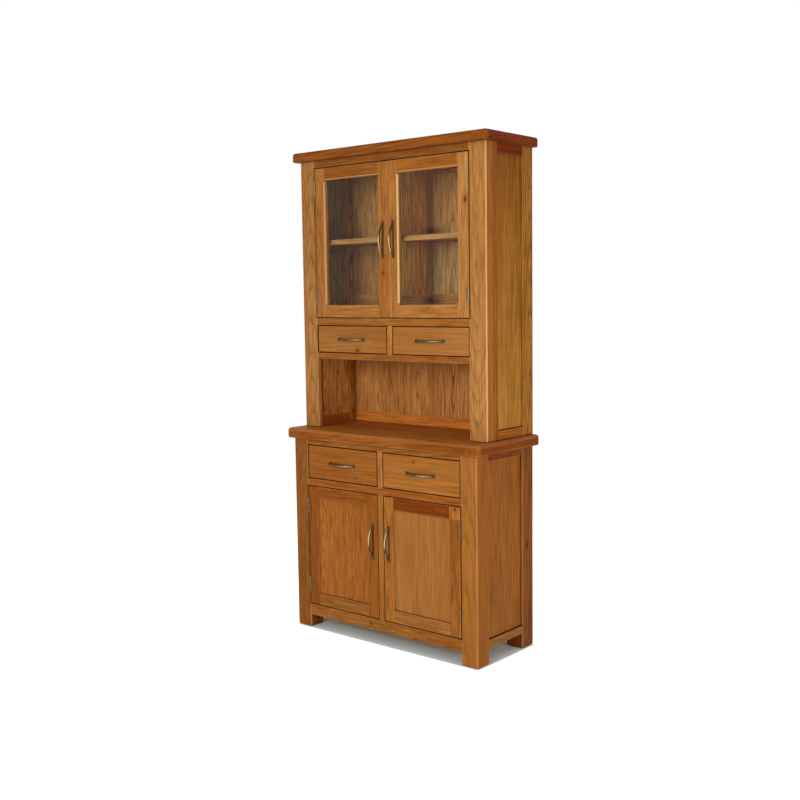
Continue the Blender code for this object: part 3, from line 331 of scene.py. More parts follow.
# A solid drawn by carrying an outline along the grain: at each station it has a place and is moved in by an inset.
# The radii of its corners are the same at every station or differ. The arcs are the corners that can carry a painted
# highlight
def carried(corners, radii, grain, stations, steps=3):
    corners = np.array(corners, float)
    radii = np.broadcast_to(radii, (len(stations), len(corners)))
    rings = np.array([roundCorners(insetCorners(corners, inset), radius, steps)
                      for (place, inset), radius in zip(stations, radii)])
    points = np.zeros((*rings.shape[:2], 3))
    points[:, :, acrossAxes[grain]] = rings
    points[:, :, grain] = np.array([place for place, inset in stations])[:, None]
    rows, columns = rings.shape[:2]
    rounded = np.repeat(np.minimum(radii[:-1], radii[1:]) > 0.001, steps + 1, axis=1)
    rounded[:, steps::steps + 1] = False  # the flat after each corner
    return {"points": points.reshape(-1, 3), "faces": gridFaces(rows, columns), "columns": columns,
            "arcs": np.append(rounded.ravel(), [False] * 2)}


# Where a stick stood in its tree: the pith line's direction and place, its tone and one knot, which is a place and
# a radius. Figure is how strongly its grain shows, and the last value how strongly a painted highlight lies on its
# rounded edges
def grow(solid, grain, heart=None, lean=None, tone=1.0, tint="plain", knot=None, figure=1.0, rub=0.22):
    low, high = solid["points"].min(0), solid["points"].max(0)
    sides = acrossAxes[grain]
    span = (high - low)[sides]
    thin = int(np.argmin(span))
    if heart is None:  # beside a narrow stick, whose grain is straight, and behind the wide face of a board
        narrow = span[1 - thin] < 0.06
        heart = np.zeros(2)
        heart[1 - thin] = chance.choice([-1, 1]) * chance.uniform(0.06, 0.12) if narrow else (
            chance.uniform(-0.42, 0.42) * min(span[1 - thin], 0.14))
        heart[thin] = chance.uniform(0.016, 0.055) + span[thin] / 2
    if lean is None:
        lean = np.zeros(2)
        lean[1 - thin] = chance.uniform(-0.02, 0.02)
        lean[thin] = chance.choice([-1, 1]) * chance.uniform(0.03, 0.09)
    axis = np.zeros(3)
    axis[grain] = 1
    axis[sides] = lean
    pith = (low + high) / 2
    pith[sides] += heart
    solid["grainAxis"] = axis / np.linalg.norm(axis)
    solid["grainPith"] = pith
    solid["grainTone"] = np.array(tints[tint]) * tone * chance.uniform(0.97, 1.03)
    *solid["grainKnot"], solid["grainKnotRadius"] = (*pith, 0.00001) if knot is None else knot
    solid["grainFigure"] = figure
    solid["grainRub"] = rub * solid.get("arcs", np.zeros(1))[:, None]
    return solid


# The tone of a solid's faces multiplied by a tint, in one row of its grid, in one column, or where the two meet
def tintFaces(solid, tint, row=None, column=None):
    rows, columns = np.divmod(np.arange(len(solid["faces"])), solid["columns"])
    picked = ((rows == row) | (row is None)) & ((columns == column) | (column is None))
    solid["grainTone"] = np.where(picked[:, None], solid["grainTone"] * tint, solid["grainTone"])


def rectangle(low, high, grain=2):  # its corners, as seen along the grain
    a, b = acrossAxes[grain]
    return [(low[a], low[b]), (high[a], low[b]), (high[a], high[b]), (low[a], high[b])]


def eased(start, end, amount, stops=()):  # stations of a solid whose ends are moved in by an amount
    return [(start, amount), (start + amount, 0), *[(place, 0) for place in stops], (end - amount, 0), (end, amount)]


# A straight stick or board between two corners: rounds are the radii of its long edges, in the order of the
# outline's corners, ends how far its ends are eased, and stops further places for radii that differ along it
def stick(low, high, grain, rounds=0.0006, ends=0.0003, stops=(), **growth):
    stations = eased(low[grain], high[grain], ends, stops)
    return grow(carried(rectangle(low, high, grain), rounds, grain, stations), grain, **growth)


# Boards glued edge to edge, which share a width between them by the parts given, and can differ from each other
def boards(low, high, grain, wide, parts, each=(), **growth):
    cuts = low[wide] + (high[wide] - low[wide]) * np.cumsum([0, *parts]) / np.sum(parts)
    made = []
    for i, (start, end) in enumerate(zip(cuts, cuts[1:])):
        lowCorner, highCorner = list(low), list(high)
        lowCorner[wide], highCorner[wide] = start, end
        own = each[i] if i < len(each) else {}
        made.append(stick(lowCorner, highCorner, grain, 0.0002, 0.0002, **{**growth, **own}))
    return made


# Radii of a stick's long edges: those at the front, low Y, and those behind
def frontRounds(grain, front, back=0.0005):
    return [front, front, back, back] if grain == 2 else [front, back, back, front]


def addObject(name, data):
    made = bpy.data.objects.new(name, data)
    bpy.context.scene.collection.objects.link(made)
    return made


# One object from closed solids that takes the place of a node and its name, with the attributes that its material
# reads: those of growth and of the painted edge highlight, one for a whole solid or one for each face, or the
# wear and painted highlight of each point
def makePiece(node, solids, slot, body="carcass", name=None):
    first, *others = node.split("_")
    name = name or first + "".join(word.title() for word in others)
    points = np.concatenate([solid["points"] for solid in solids])
    starts = np.cumsum([0] + [len(solid["points"]) for solid in solids])
    faces = [[index + start for index in face] for start, solid in zip(starts, solids) for face in solid["faces"]]
    mesh = bpy.data.meshes.new(name)
    mesh.from_pydata(points.tolist(), [], faces)
    cleaner = bmesh.new()
    cleaner.from_mesh(mesh)
    bmesh.ops.recalc_face_normals(cleaner, faces=cleaner.faces)
    cleaner.to_mesh(mesh)
    cleaner.free()
    if "wear" in solids[0]:
        values = np.concatenate([solid["wear"] for solid in solids])
        mesh.attributes.new("wear", "FLOAT", "POINT").data.foreach_set("value", values)
    else:
        for label, size in growthSizes.items():
            values = np.concatenate([np.broadcast_to(solid[label], (len(solid["faces"]), size)) for solid in solids])
            kind, field = ("FLOAT_VECTOR", "vector") if size == 3 else ("FLOAT", "value")
            mesh.attributes.new(label, kind, "FACE").data.foreach_set(field, values.ravel())
    mesh.materials.append(brass if slot == "antique_brass" else oak)
    mesh.shade_smooth()
    mesh.set_sharp_from_angle(angle=np.radians(38))
    piece = addObject(name, mesh)
    weighted = piece.modifiers.new("weighted normals", "WEIGHTED_NORMAL")
    weighted.keep_sharp = True
    weighted.weight = 80
    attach(piece, body)
    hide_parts(node)


cameraPlan = {"place": (2.644, -3.1853, 1.3367), "turn": 0.6993, "down": 0.0977, "roll": -0.0137, "lens": 48.34}


# The camera looks along a direction turned to the left of +Y and down, and rolls about it
def aimCamera(plan):
    data = bpy.data.cameras.new("camera")
    data.lens = plan["lens"]
    camera = addObject("camera", data)
    level = Matrix.Translation(plan["place"]) @ Matrix.Rotation(plan["turn"], 4, "Z")
    camera.matrix_world = (level @ Matrix.Rotation(np.pi / 2 - plan["down"], 4, "X")
                           @ Matrix.Rotation(plan["roll"], 4, "Z"))
    bpy.context.scene.camera = camera


aimCamera(cameraPlan)

oak = oakFinish("waxedOak")
brass = brassFinish("antiqueBrass")
glass = glassFinish("clearPane")
print("materials made")


leftRight = (("left", -1), ("right", 1))
legPlan = {
    "round": 0.004, "footChamfer": 0.006, "flankShade": (0.91, 0.80, 0.66),
    "front_left": {"heart": (0.012, 0.075), "lean": (0.012, 0.075), "tone": 0.67, "tint": "amber", "figure": 0.7,
                   "knot": (-0.379, -0.130, 0.030, 0.003)},
    "front_right": {"heart": (-0.02, 0.16), "lean": (0.01, 0.03), "tone": 0.93, "rub": 0.2, "figure": 0.5},
    "back_right": {"heart": (0.08, 0.02), "lean": (0.01, 0.02), "tone": 0.55, "tint": "russet",
                   "knot": (0.452, 0.1506, 0.394, 0.007)},
    "back_left": {"tone": 0.56, "tint": "russet"},
}


# Legs of the base: square stock with eased edges, chamfered round the foot
def makeLegs(plan):
    for place in ("front_left", "front_right", "back_left", "back_right"):
        low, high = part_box("base_leg_" + place)
        stations = [(low.z, plan["footChamfer"]), (low.z + plan["footChamfer"], 0), (high.z, 0)]
        leg = grow(carried(rectangle(low, high), plan["round"], 2, stations, steps=5), 2, **plan[place])
        if "front" in place:
            tintFaces(leg, plan["flankShade"], column=11)  # painted shade on its face to the right, the flat after its second corner of six points
        makePiece("base_leg_" + place, [leg], "oak_front" if "front" in place else "oak_side")


sidePlan = {
    "arris": 0.0014, "parts": (0.46, 0.54), "outer": 0.007,
    "base": {"bottom": 0.033, "top": 0.029, "inner": 0.005,
             "rails": ({"tone": 0.79, "tint": "golden"}, {"tone": 0.50, "tint": "red"}),
             "left": {"tone": 0.79, "tint": "amber"},
             "right": {"tone": 0.78, "tint": "amber", "figure": 0.9, "heart": (0.04, 0.14), "lean": (0.004, 0.006)}},
    "hutch": {"bottom": 0.036, "top": 0.038, "inner": 0.008,
              "rails": ({"tone": 0.92, "tint": "russet"}, {"tone": 0.50, "tint": "deep"}),
              "left": {"tint": "golden", "figure": 1.4, "stops": [1.17],
                       "each": [{"knot": (-0.376, 0.003, 0.886, 0.011)},
                                {"knot": (-0.376, 0.055, 1.006, 0.006)}]},
              "right": {"tone": 0.95, "tint": "olive", "heart": (0.04, 0.12), "lean": (0.004, 0.010),
                        "stops": np.linspace(0.94, 1.74, 9)}},
    "rowLightAndShade": {"hutch_side_left": [(1.58, 1.80, 2.1), (0.79, 1.08, 1.66)],
                 "hutch_side_right": np.linspace((1.16, 1.32, 1.55), (0.74, 0.62, 0.50), 10)},
}


# Sides: two rails between the legs or posts and a sunk panel of two boards. The faces to the right get painted light
# in the niche and greyer painted shade in the glazed cupboard, and on the hutch's right side painted light low down
# that turns to painted shade upwards
def makeSides(plans):
    for unit, (side, sign) in [(unit, way) for unit in ("base", "hutch") for way in leftRight]:
        plan, node = plans[unit], f"{unit}_side_{side}"
        low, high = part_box(node)
        bottomZ, topZ = low.z + plan["bottom"], high.z - plan["top"]
        lowInset, highInset = (plans["outer"], plan["inner"])[::-sign]
        rails = [stick(low, (high.x, high.y, bottomZ), 1, plans["arris"], **plan["rails"][0]),
                 stick((low.x, low.y, topZ), high, 1, plans["arris"], **plan["rails"][1])]
        panel = boards((low.x + lowInset, low.y, bottomZ), (high.x - highInset, high.y, topZ), 2, 1,
                       plans["parts"], **plan[side])
        for board in panel:
            for row, tint in enumerate(plans["rowLightAndShade"].get(node, ()), 1):
                tintFaces(board, tint, row, 7)  # painted light and shade on the face to the right, the flat after its second corner of four points
        makePiece(node, rails + panel, "oak_side")


postPlan = {
    "flange": 0.017, "frontDepth": 0.037, "round": 0.004, "arris": 0.0016, "hidden": 0.0004, "ease": 0.0003,
    "left": {"heart": (0.01, 0.07), "lean": (0.01, 0.05), "tone": 0.96, "tint": "pale", "figure": 0.8},
    "right": {"heart": (0.0, 0.06), "lean": (0.0, -0.06), "tone": 1.06, "tint": "pale", "rub": 0.65,
              "figure": 0.85},
    "flankShade": (0.88, 0.70, 0.42), "backTones": {"left": 1.06, "right": 0.92},
}


# Posts of the hutch: an angle-shaped front post with the side's stile behind it, and a plain rear one
def makePosts(plan):
    arris, hidden = plan["arris"], plan["hidden"]
    for side, sign in leftRight:
        node = f"hutch_post_front_{side}"
        low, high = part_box(node)
        outerX, flangeX = (high.x, low.x)[::sign]
        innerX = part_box(f"hutch_side_{side}")[0 if sign > 0 else 1].x
        flangeY, stileY = low.y + plan["flange"], low.y + plan["frontDepth"]
        corners = [(flangeX, low.y), (outerX, low.y), (outerX, stileY), (innerX, stileY),
                   (innerX, flangeY), (flangeX, flangeY)]
        radii = [arris, plan["round"], hidden, hidden, hidden, arris]
        post = grow(carried(corners, radii, 2, eased(low.z, high.z, plan["ease"]), steps=5), 2, **plan[side])
        tintFaces(post, plan["flankShade"], column=11)  # painted shade on its outer flank, the flat after its second corner of six points
        x0, x1 = sorted((innerX, outerX))
        stile = stick((x0, stileY, low.z), (x1, high.y, high.z), 2, [hidden, hidden, arris, arris], tone=0.82,
                      tint="russet")
        makePiece(node, [post, stile], "oak_front")
        node = f"hutch_post_back_{side}"
        backPost = stick(*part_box(node), 2, arris, tone=plan["backTones"][side], tint="olive", figure=1.3)
        makePiece(node, [backPost], "oak_side")


topPlan = {
    "cleat": 0.070, "lowerRound": 0.005, "upperRound": 0.011, "cornerRound": 0.014, "joint": 0.0005,
    "upperTint": (1.32, 1.42, 1.55),
    "base_top": {"name": "worktop", "tones": (0.75, 0.76), "rub": 0.10, "endTint": (0.78, 0.60, 0.34)},
    "hutch_top": {"name": "cornice", "tones": (0.65, 0.60), "rub": 0.0, "endTint": (0.71, 0.44, 0.20)},
}


# A cleat: its edge profile is carried round the front, the corner and the end, each point of the profile
# moved in from the outline by its inset
def cleatSolid(low, high, jointX, sign, plan):
    turn = np.linspace(0, np.pi / 2, 7)
    lower, upper, corner = plan["lowerRound"], plan["upperRound"], plan["cornerRound"]
    inset = np.concatenate([lower * (1 - np.sin(turn)), upper * (1 - np.cos(turn))])
    rise = np.concatenate([low.z + lower * (1 - np.cos(turn)), high.z - upper * (1 - np.sin(turn))])
    swing = np.array([0, *np.linspace(0, np.pi / 2, 9), np.pi / 2])[:, None]
    pathX = (high.x if sign > 0 else low.x) - sign * corner * (1 - np.sin(swing))
    pathY = low.y + corner * (1 - np.cos(swing))
    pathX[0], pathY[-1] = jointX, high.y
    x, y = pathX - sign * np.sin(swing) * inset, pathY + np.cos(swing) * inset
    points = np.stack([x, y, rise + 0 * x], axis=-1)
    rows, columns = x.shape
    grid = np.arange(rows * columns).reshape(rows, columns)
    lowBack, highBack = rows * columns, rows * columns + 1  # the two corners at the joint and the back
    faces = gridFaces(rows, columns, closed=False)
    faces += [grid[:, 0].tolist() + [lowBack], grid[:, -1].tolist() + [highBack],
              grid[0].tolist() + [highBack, lowBack], grid[-1].tolist() + [highBack, lowBack]]
    backs = [(jointX, high.y, low.z), (jointX, high.y, high.z)]
    arcs = np.append(np.tile(np.arange(columns - 1) != len(turn) - 1, rows - 1), [False] * 4)
    return {"points": np.concatenate([points.reshape(-1, 3), backs]), "faces": faces, "columns": columns - 1,
            "arcs": arcs}


# Worktop and cornice: a thick board with a cleat across each end
def makeTops(plan):
    for node in ("base_top", "hutch_top"):
        own = plan[node]
        wood = {"tint": "russet", "rub": own["rub"]}
        low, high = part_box(node)
        jointX = high.x - plan["cleat"]
        outline = [(high.y, low.z), (low.y, low.z), (low.y, high.z), (high.y, high.z)]
        radii = [0.0005, plan["lowerRound"], plan["upperRound"], 0.0005]
        board = carried(outline, radii, 0, eased(-jointX, jointX, plan["joint"]), steps=6)
        grow(board, 0, heart=(-0.09, 0.03), lean=(0.02, 0.04), tone=own["tones"][0], **wood)
        tintFaces(board, plan["upperTint"], column=20)  # painted light on the top face, the flat after its third corner of seven points
        solids = [board]
        for sign in (-1, 1):
            cleat = cleatSolid(low, high, sign * jointX, sign, plan)
            grow(cleat, 1, heart=(0.01, -0.03), lean=(0.02, 0.03), tone=own["tones"][1], **wood)
            tintFaces(cleat, plan["upperTint"], 10, 1)  # painted light on the upper one of the faces behind its ten rows
            tintFaces(cleat, own["endTint"], 9)
            solids.append(cleat)
        makePiece(node, solids, "oak_top", name=own["name"])


backPlan = {
    "recess": 0.004, "arris": 0.0008,
    "base_back": {"levels": (0.058, 0.096, 0.710, 0.7697), "parts": [1, 1.2, 0.9, 1.1]},
    "hutch_back": {"levels": (0.8103, 0.850, 1.095, 1.337, 1.804, 1.8637), "parts": [1.1, 0.9, 1.2, 1]},
    "woods": [{"tone": 1.5, "tint": "amber"}, {"tone": 1.3, "tint": "pale", "figure": 1.25},
              {"tone": 1.1, "tint": "golden"},
              {"tone": 1.05, "tint": "grey", "figure": 1.25, "stops": [1.52],
               "each": [{}, {}, {"tone": 1.07}, {"tone": 1.18}]}, {"tone": 1.1, "tint": "golden"}],
    "underShelfLightAndShade": [(0.91, 0.86, 0.86), (0.91, 0.86, 0.86), (0.97, 1.18, 1.5), (0.94, 1.12, 1.55)],
}


# Backs: rails across, with panels of several boards sunk between them on both faces
def makeBacks(plan):
    for node in ("base_back", "hutch_back"):
        low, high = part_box(node)
        levels, inset = plan[node]["levels"], plan["recess"]
        solids = []
        for i, (z0, z1, wood) in enumerate(zip(levels, levels[1:], plan["woods"])):
            if i % 2 == 0:
                solids.append(stick((low.x, low.y, z0), (high.x, high.y, z1), 0, plan["arris"], **wood))
                continue
            panel = boards((low.x, low.y + inset, z0), (high.x, high.y - inset, z1), 2, 0, plan[node]["parts"],
                           **wood)
            solids += panel
            if "each" in wood:  # painted shade on the left boards and painted light on the right ones, on the front faces under the shelf
                for board, tint in zip(panel, plan["underShelfLightAndShade"]):
                    tintFaces(board, tint, 1, 3)
        makePiece(node, solids, "oak_inside")


partitionPlan = {"stile": 0.040, "recess": 0.004, "bottom": 0.0887, "top": 0.0377, "notchDepth": 0.0128,
                 "notchRise": 0.0353, "frontArris": 0.0006, "arris": 0.0008}


# Partition of the glazed cupboard: two stiles, two rails and a sunk panel, notched over the top rail's stop
def makePartition(plan):
    low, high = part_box("hutch_partition")
    inset, arris, frontArris = plan["recess"], plan["arris"], plan["frontArris"]
    panelY0, panelY1 = low.y + plan["stile"], high.y - plan["stile"]
    panelZ0, panelZ1 = low.z + plan["bottom"], high.z - plan["top"]
    notchY, frontTop = low.y + plan["notchDepth"], high.z - plan["notchRise"]
    outline = [(low.y, low.z), (panelY0, low.z), (panelY0, high.z), (notchY, high.z), (notchY, frontTop),
               (low.y, frontTop)]
    front = carried(outline, frontArris, 0, eased(low.x, high.x, frontArris))
    solids = [grow(front, 2, tone=1.3, tint="grey"),
              stick((low.x, panelY1, low.z), high, 2, arris, tone=1.1, tint="grey"),
              stick((low.x, panelY0, low.z), (high.x, panelY1, panelZ0), 1, arris, tone=1.5, tint="grey"),
              stick((low.x, panelY0, panelZ1), (high.x, panelY1, high.z), 1, arris, tone=1.2, tint="grey")]
    solids += boards((low.x + inset, panelY0, panelZ0), (high.x - inset, panelY1, panelZ1), 2, 1, [1, 1.1],
                     tone=1.85, tint="grey", figure=1.4)
    makePiece("hutch_partition", solids, "oak_inside")


railPlan = {
    "arris": 0.0015, "depth": 0.022, "board": 0.016, "stopGap": 0.0205, "stopDepth": 0.012, "stopDrop": 0.008,
    "muntin": 0.026, "setBack": 0.0005, "guideHeight": 0.012, "guideReach": 0.0028, "guideWidth": 0.012,
    "floorHalf": 0.3757, "clearance": 0.0003, "stopArris": 0.0005, "guideArris": 0.0008,
    "rails": {"base_top_rail": {"tone": 0.82, "tint": "amber"},
              "base_bottom_rail": {"tone": 0.84, "knot": (-0.057, -0.166, 0.073, 0.0035)},
              "hutch_top_rail": {"tone": 0.68, "tint": "amber"}, "base_door_muntin": {}},
    "base_drawer_deck": {"rail": 0.028, "above": "base_top_rail", "post": 0.379, "guideY": -0.09555,
                         "rearY": 0.11985, "wood": {"tone": 0.88, "tint": "russet"}},
    "hutch_drawer_deck": {"rail": 0.024, "above": "hutch_cupboard_floor", "post": 0.376, "guideY": -0.07685,
                          "rearY": 0.16185, "wood": {"tone": 0.80, "tint": "amber"}},
}


# Rails and the muntin, which are a node each, and the batten behind the hutch's rail that stops its doors
def makeRails(plan):
    for node, wood in plan["rails"].items():
        low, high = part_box(node)
        grain = 2 if node == "base_door_muntin" else 0
        railLow, railHigh = list(low), list(high)
        solids = []
        if node == "hutch_top_rail":
            railLow[2] += plan["stopDrop"]
            railHigh[1] = low.y + plan["stopGap"]
            solids.append(stick((low.x, railHigh[1], low.z), high, 0, plan["stopArris"], tone=0.8))
        elif grain == 0:
            railHigh[1] = low.y + plan["depth"]
        solids.append(stick(railLow, railHigh, grain, frontRounds(grain, plan["arris"]), **wood))
        makePiece(node, solids, "oak_front")


# Front rail, board, divider and guides under each pair of drawers, with the batten that stops the base's doors, the
# floor of the glazed cupboard and its shelves
def makeDecks(plan):
    rounds, clearance = frontRounds(0, plan["arris"]), plan["clearance"]
    muntin, reach, width = plan["muntin"] / 2, plan["guideReach"], plan["guideWidth"]
    for node in ("base_drawer_deck", "hutch_drawer_deck"):
        unit = plan[node]
        post, half = unit["post"], unit["post"] - clearance
        hasStop = node == "base_drawer_deck"
        low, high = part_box(node)
        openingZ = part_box(unit["above"])[0].z - clearance
        railZ = low.z + (plan["stopDrop"] if hasStop else 0)
        deckZ = railZ + unit["rail"]
        frontY = low.y + plan["depth"]
        railY = low.y + plan["stopGap"] if hasStop else frontY
        boardX, boardY = (half, railY + plan["stopDepth"]) if hasStop else (high.x, railY)
        solids = [stick((-half, low.y, railZ), (half, railY, deckZ), 0, rounds, **unit["wood"])]
        if hasStop:
            solids.append(stick((-half, railY, low.z), (half, boardY, deckZ), 0, plan["stopArris"], tone=0.8))
        solids += boards((-boardX, boardY, deckZ - plan["board"]), (boardX, high.y, deckZ), 0, 1, [1, 1.2],
                         tone=0.85)
        solids.append(stick((-muntin, low.y + plan["setBack"], deckZ), (muntin, frontY, openingZ), 2,
                            frontRounds(2, plan["arris"]), tone=1.07, tint="golden"))
        for x0, x1, y0 in ((-muntin - reach, muntin + reach, frontY), (post - reach, post + width, unit["guideY"]),
                           (-post - width, -post + reach, unit["guideY"])):
            solids.append(stick((x0, y0, deckZ), (x1, unit["rearY"], deckZ + plan["guideHeight"]), 1,
                                plan["guideArris"], tone=0.85))
        makePiece(node, solids, "oak_front")

    low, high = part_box("hutch_cupboard_floor")
    half, frontY = plan["floorHalf"], low.y + plan["depth"]
    solids = [stick((-half, low.y, low.z), (half, frontY, high.z), 0, rounds, tone=0.85)]
    solids += boards((low.x, frontY, high.z - plan["board"]), high, 0, 1, [1, 1.1], tone=0.85)
    makePiece("hutch_cupboard_floor", solids, "oak_front")
    for node in ("hutch_shelf_left", "hutch_shelf_right"):
        makePiece(node, [stick(*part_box(node), 0, rounds, tone=0.85, tint="pale")], "oak_inside")


doorPlan = {
    "member": 0.048, "thickness": 0.020, "outerRound": 0.002, "innerRound": 0.0015, "glazedRound": 0.0055,
    "hidden": 0.0005, "ends": 0.0012,
    "woods": {  # tone, tint and painted edge highlight of the free stile, the hinge stile, the top rail and the bottom rail
        "base_left": ((0.75, "russet", 0.2), (0.68, "russet", 0.2), (0.71, "russet", 0.2), (0.77, "plain", 0.22)),
        "base_right": ((1.08, "plain", 0.2), (0.82, "amber", 0.2), (0.57, "red", 0.2), (0.99, "golden", 0.22)),
        "hutch_left": ((0.94, "plain", 0.2), (0.98, "golden", 0.5), (0.78, "amber", 0.35), (0.95, "golden", 0.22)),
        "hutch_right": ((1.02, "golden", 1.0), (1.14, "pale", 0.2), (0.87, "amber", 0.35), (0.99, "golden", 0.22))},
    "panels": {"left": {"parts": [1.1, 1], "tone": 0.88, "tint": "amber", "figure": 0.9},
               "right": {"parts": [0.8, 1.1], "tone": 1.01, "tint": "golden", "figure": 0.6,
                         "heart": (0.10, 0.03), "lean": (0.004, 0.02)}},
    "paleTop": (1.4, 1.65, 1.9),
    "knots": {("hutch_left", 0): {"knot": (-0.027, -0.099, 1.419, 0.004)},
              ("hutch_right", 1): {"knot": (0.360, -0.099, 1.669, 0.006)},
              ("base_right", 1): {"knot": (0.354, -0.166, 0.570, 0.004)}},
}
hingePlan = {"length": 0.062, "fromEnd": 0.079, "proud": 0.0025, "radius": 0.0030, "count": 5, "ease": 0.0003,
             "tip": ((0.0019, 0), (0.0017, 0.00055), (0.0008, 0.0011)), "leaf": 0.0007, "leafDepth": 0.014,
             "gap": 0.0003, "halfGap": 0.0015, "postLeaf": 0.0005}


def eachDoor():  # its unit, its side, which way its hinges lie, what it moves with and its frame's box
    for unit in ("base", "hutch"):
        for side, sign in leftRight:
            body = f"{unit}_door_{side}"
            yield unit, side, sign, body, *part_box(body + "_frame")


# Doors: stiles run the whole height, rails fit between them, and the base doors hold a panel of two boards
def makeDoors(plan):
    member, hidden, outer = plan["member"], plan["hidden"], plan["outerRound"]
    for unit, side, sign, body, low, high in eachDoor():
        inner = plan["innerRound" if unit == "base" else "glazedRound"]
        woods = [{"tone": tone, "tint": tint, "rub": rub} for tone, tint, rub in plan["woods"][f"{unit}_{side}"]]
        frontY, backY = high.y - plan["thickness"], high.y
        free, far = (low.x, high.x)[::sign]
        hinge = far - sign * hingePlan["radius"] - sign * hingePlan["halfGap"]
        freeInner, hingeInner = free + sign * member, hinge - sign * member
        stops = [low.z + member - hidden, low.z + member + inner, high.z - member - inner,
                 high.z - member + hidden]
        solids = []
        for i, (edge, innerEdge) in enumerate(((free, freeInner), (hinge, hingeInner))):
            x0, x1 = sorted((edge, innerEdge))
            rounds = np.full((8, 4), hidden)  # the inner arris is eased only between the rails
            rounds[:, 0 if edge == x0 else 1] = outer
            rounds[3:5, 1 if edge == x0 else 0] = inner
            knot = plan["knots"].get((f"{unit}_{side}", i), {})
            stile = stick((x0, frontY, low.z), (x1, backY, high.z), 2, rounds, plan["ends"], stops, **woods[i],
                          **knot)
            if (body, i) == ("base_door_right", 1):
                tintFaces(stile, plan["paleTop"], 5)  # from the top down to the rail's edge
            solids.append(stile)
        x0, x1 = sorted((freeInner, hingeInner))
        for z0, z1, rounds, wood in (
                (high.z - member, high.z, [inner, hidden, hidden, outer], woods[2]),
                (low.z, low.z + member, [outer, hidden, hidden, inner], woods[3])):
            solids.append(stick((x0, frontY, z0), (x1, backY, z1), 0, rounds, **wood))
        makePiece(body + "_frame", solids, "oak_front", body)
        if unit == "base":
            panel = boards(*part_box(body + "_panel"), 2, 0, **plan["panels"][side])
            makePiece(body + "_panel", panel, "oak_panel", body)
        else:
            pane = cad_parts[body + "_glass"]
            pane.data.materials.clear()
            pane.data.materials.append(glass)


# A knuckle: its profile of radius and height is turned about the pin
def turned(x, y, profile, sides=20):
    radius, rise = np.array(profile).T[..., None]
    angle = np.linspace(0, 2 * np.pi, sides, endpoint=False)[None]
    points = np.stack([x + radius * np.cos(angle), y + radius * np.sin(angle), rise + 0 * angle], axis=-1)
    wear = np.repeat(radius / radius.max() * 0.22, sides)
    return {"points": points.reshape(-1, 3), "faces": gridFaces(len(radius), sides), "wear": wear}


def plate(low, high):
    made = carried(rectangle(low, high), 0.0001, 2, eased(low[2], high[2], 0.0001), 1)
    made["wear"] = np.full(len(made["points"]), 0.15)
    return made


# Butt hinges: even knuckles and the tips of the pin belong to the post, odd ones to the door
def makeHinges(plan, doorThickness):
    half, radius, ease, leaf = plan["length"] / 2, plan["radius"], plan["ease"], plan["leaf"]
    pitch = plan["length"] / plan["count"]
    for unit, side, sign, body, low, high in eachDoor():
        axisX = (high.x if sign > 0 else low.x) - sign * radius
        axisY = high.y - doorThickness - plan["proud"]
        doorHalf = []
        for level, z in (("lower", low.z + plan["fromEnd"]), ("upper", high.z - plan["fromEnd"])):
            fixed = []
            for index in range(plan["count"]):
                bottom = z - half + pitch * index + plan["gap"] / 2
                top = bottom + pitch - plan["gap"]
                profile = [(radius - ease, bottom), (radius, bottom + ease), (radius, top - ease),
                           (radius - ease, top)]
                (fixed if index % 2 == 0 else doorHalf).append(turned(axisX, axisY, profile))
            for way in (-1, 1):
                tip = [(width, z + way * (half + rise)) for width, rise in plan["tip"]]
                fixed.append(turned(axisX, axisY, tip))
            for solids, near, far in ((fixed, plan["postLeaf"], plan["postLeaf"] + leaf),
                                      (doorHalf, -plan["halfGap"] - leaf, -plan["halfGap"] + leaf)):
                x0, x1 = sorted((axisX + sign * near, axisX + sign * far))
                solids.append(plate((x0, axisY + radius, z - half), (x1, axisY + plan["leafDepth"], z + half)))
            makePiece(f"{body}_hinge_{level}", fixed, "antique_brass")
        makePiece(body + "_frame", doorHalf, "antique_brass", body, f"{unit}Door{side.title()}HingeHalves")


handlePlan = {
    "length": 0.139, "projection": 0.026, "footLength": 0.016, "footWidth": 0.012, "footHeight": 0.005,
    "footProfile": ((0, 0), (0.45, 0), (0.62, 0.0004), (0.9, 0.0017), (1, 0.002)), "corner": 0.002,
    "width": (0.0060, 0.0085), "thickness": (0.0046, 0.0060), "squareness": 0.62,  # of the neck and the bow
    # for each kind of front: where along the bow, from -1 to 1, the painted highlight lies, and how strong it is
    "paintedHighlight": {"base_door": (0.3, 0.9), "base_drawer": (0.45, 0.25), "hutch_door": (-0.25, 1.0),
               "hutch_drawer": (0.45, 0.12)},
}


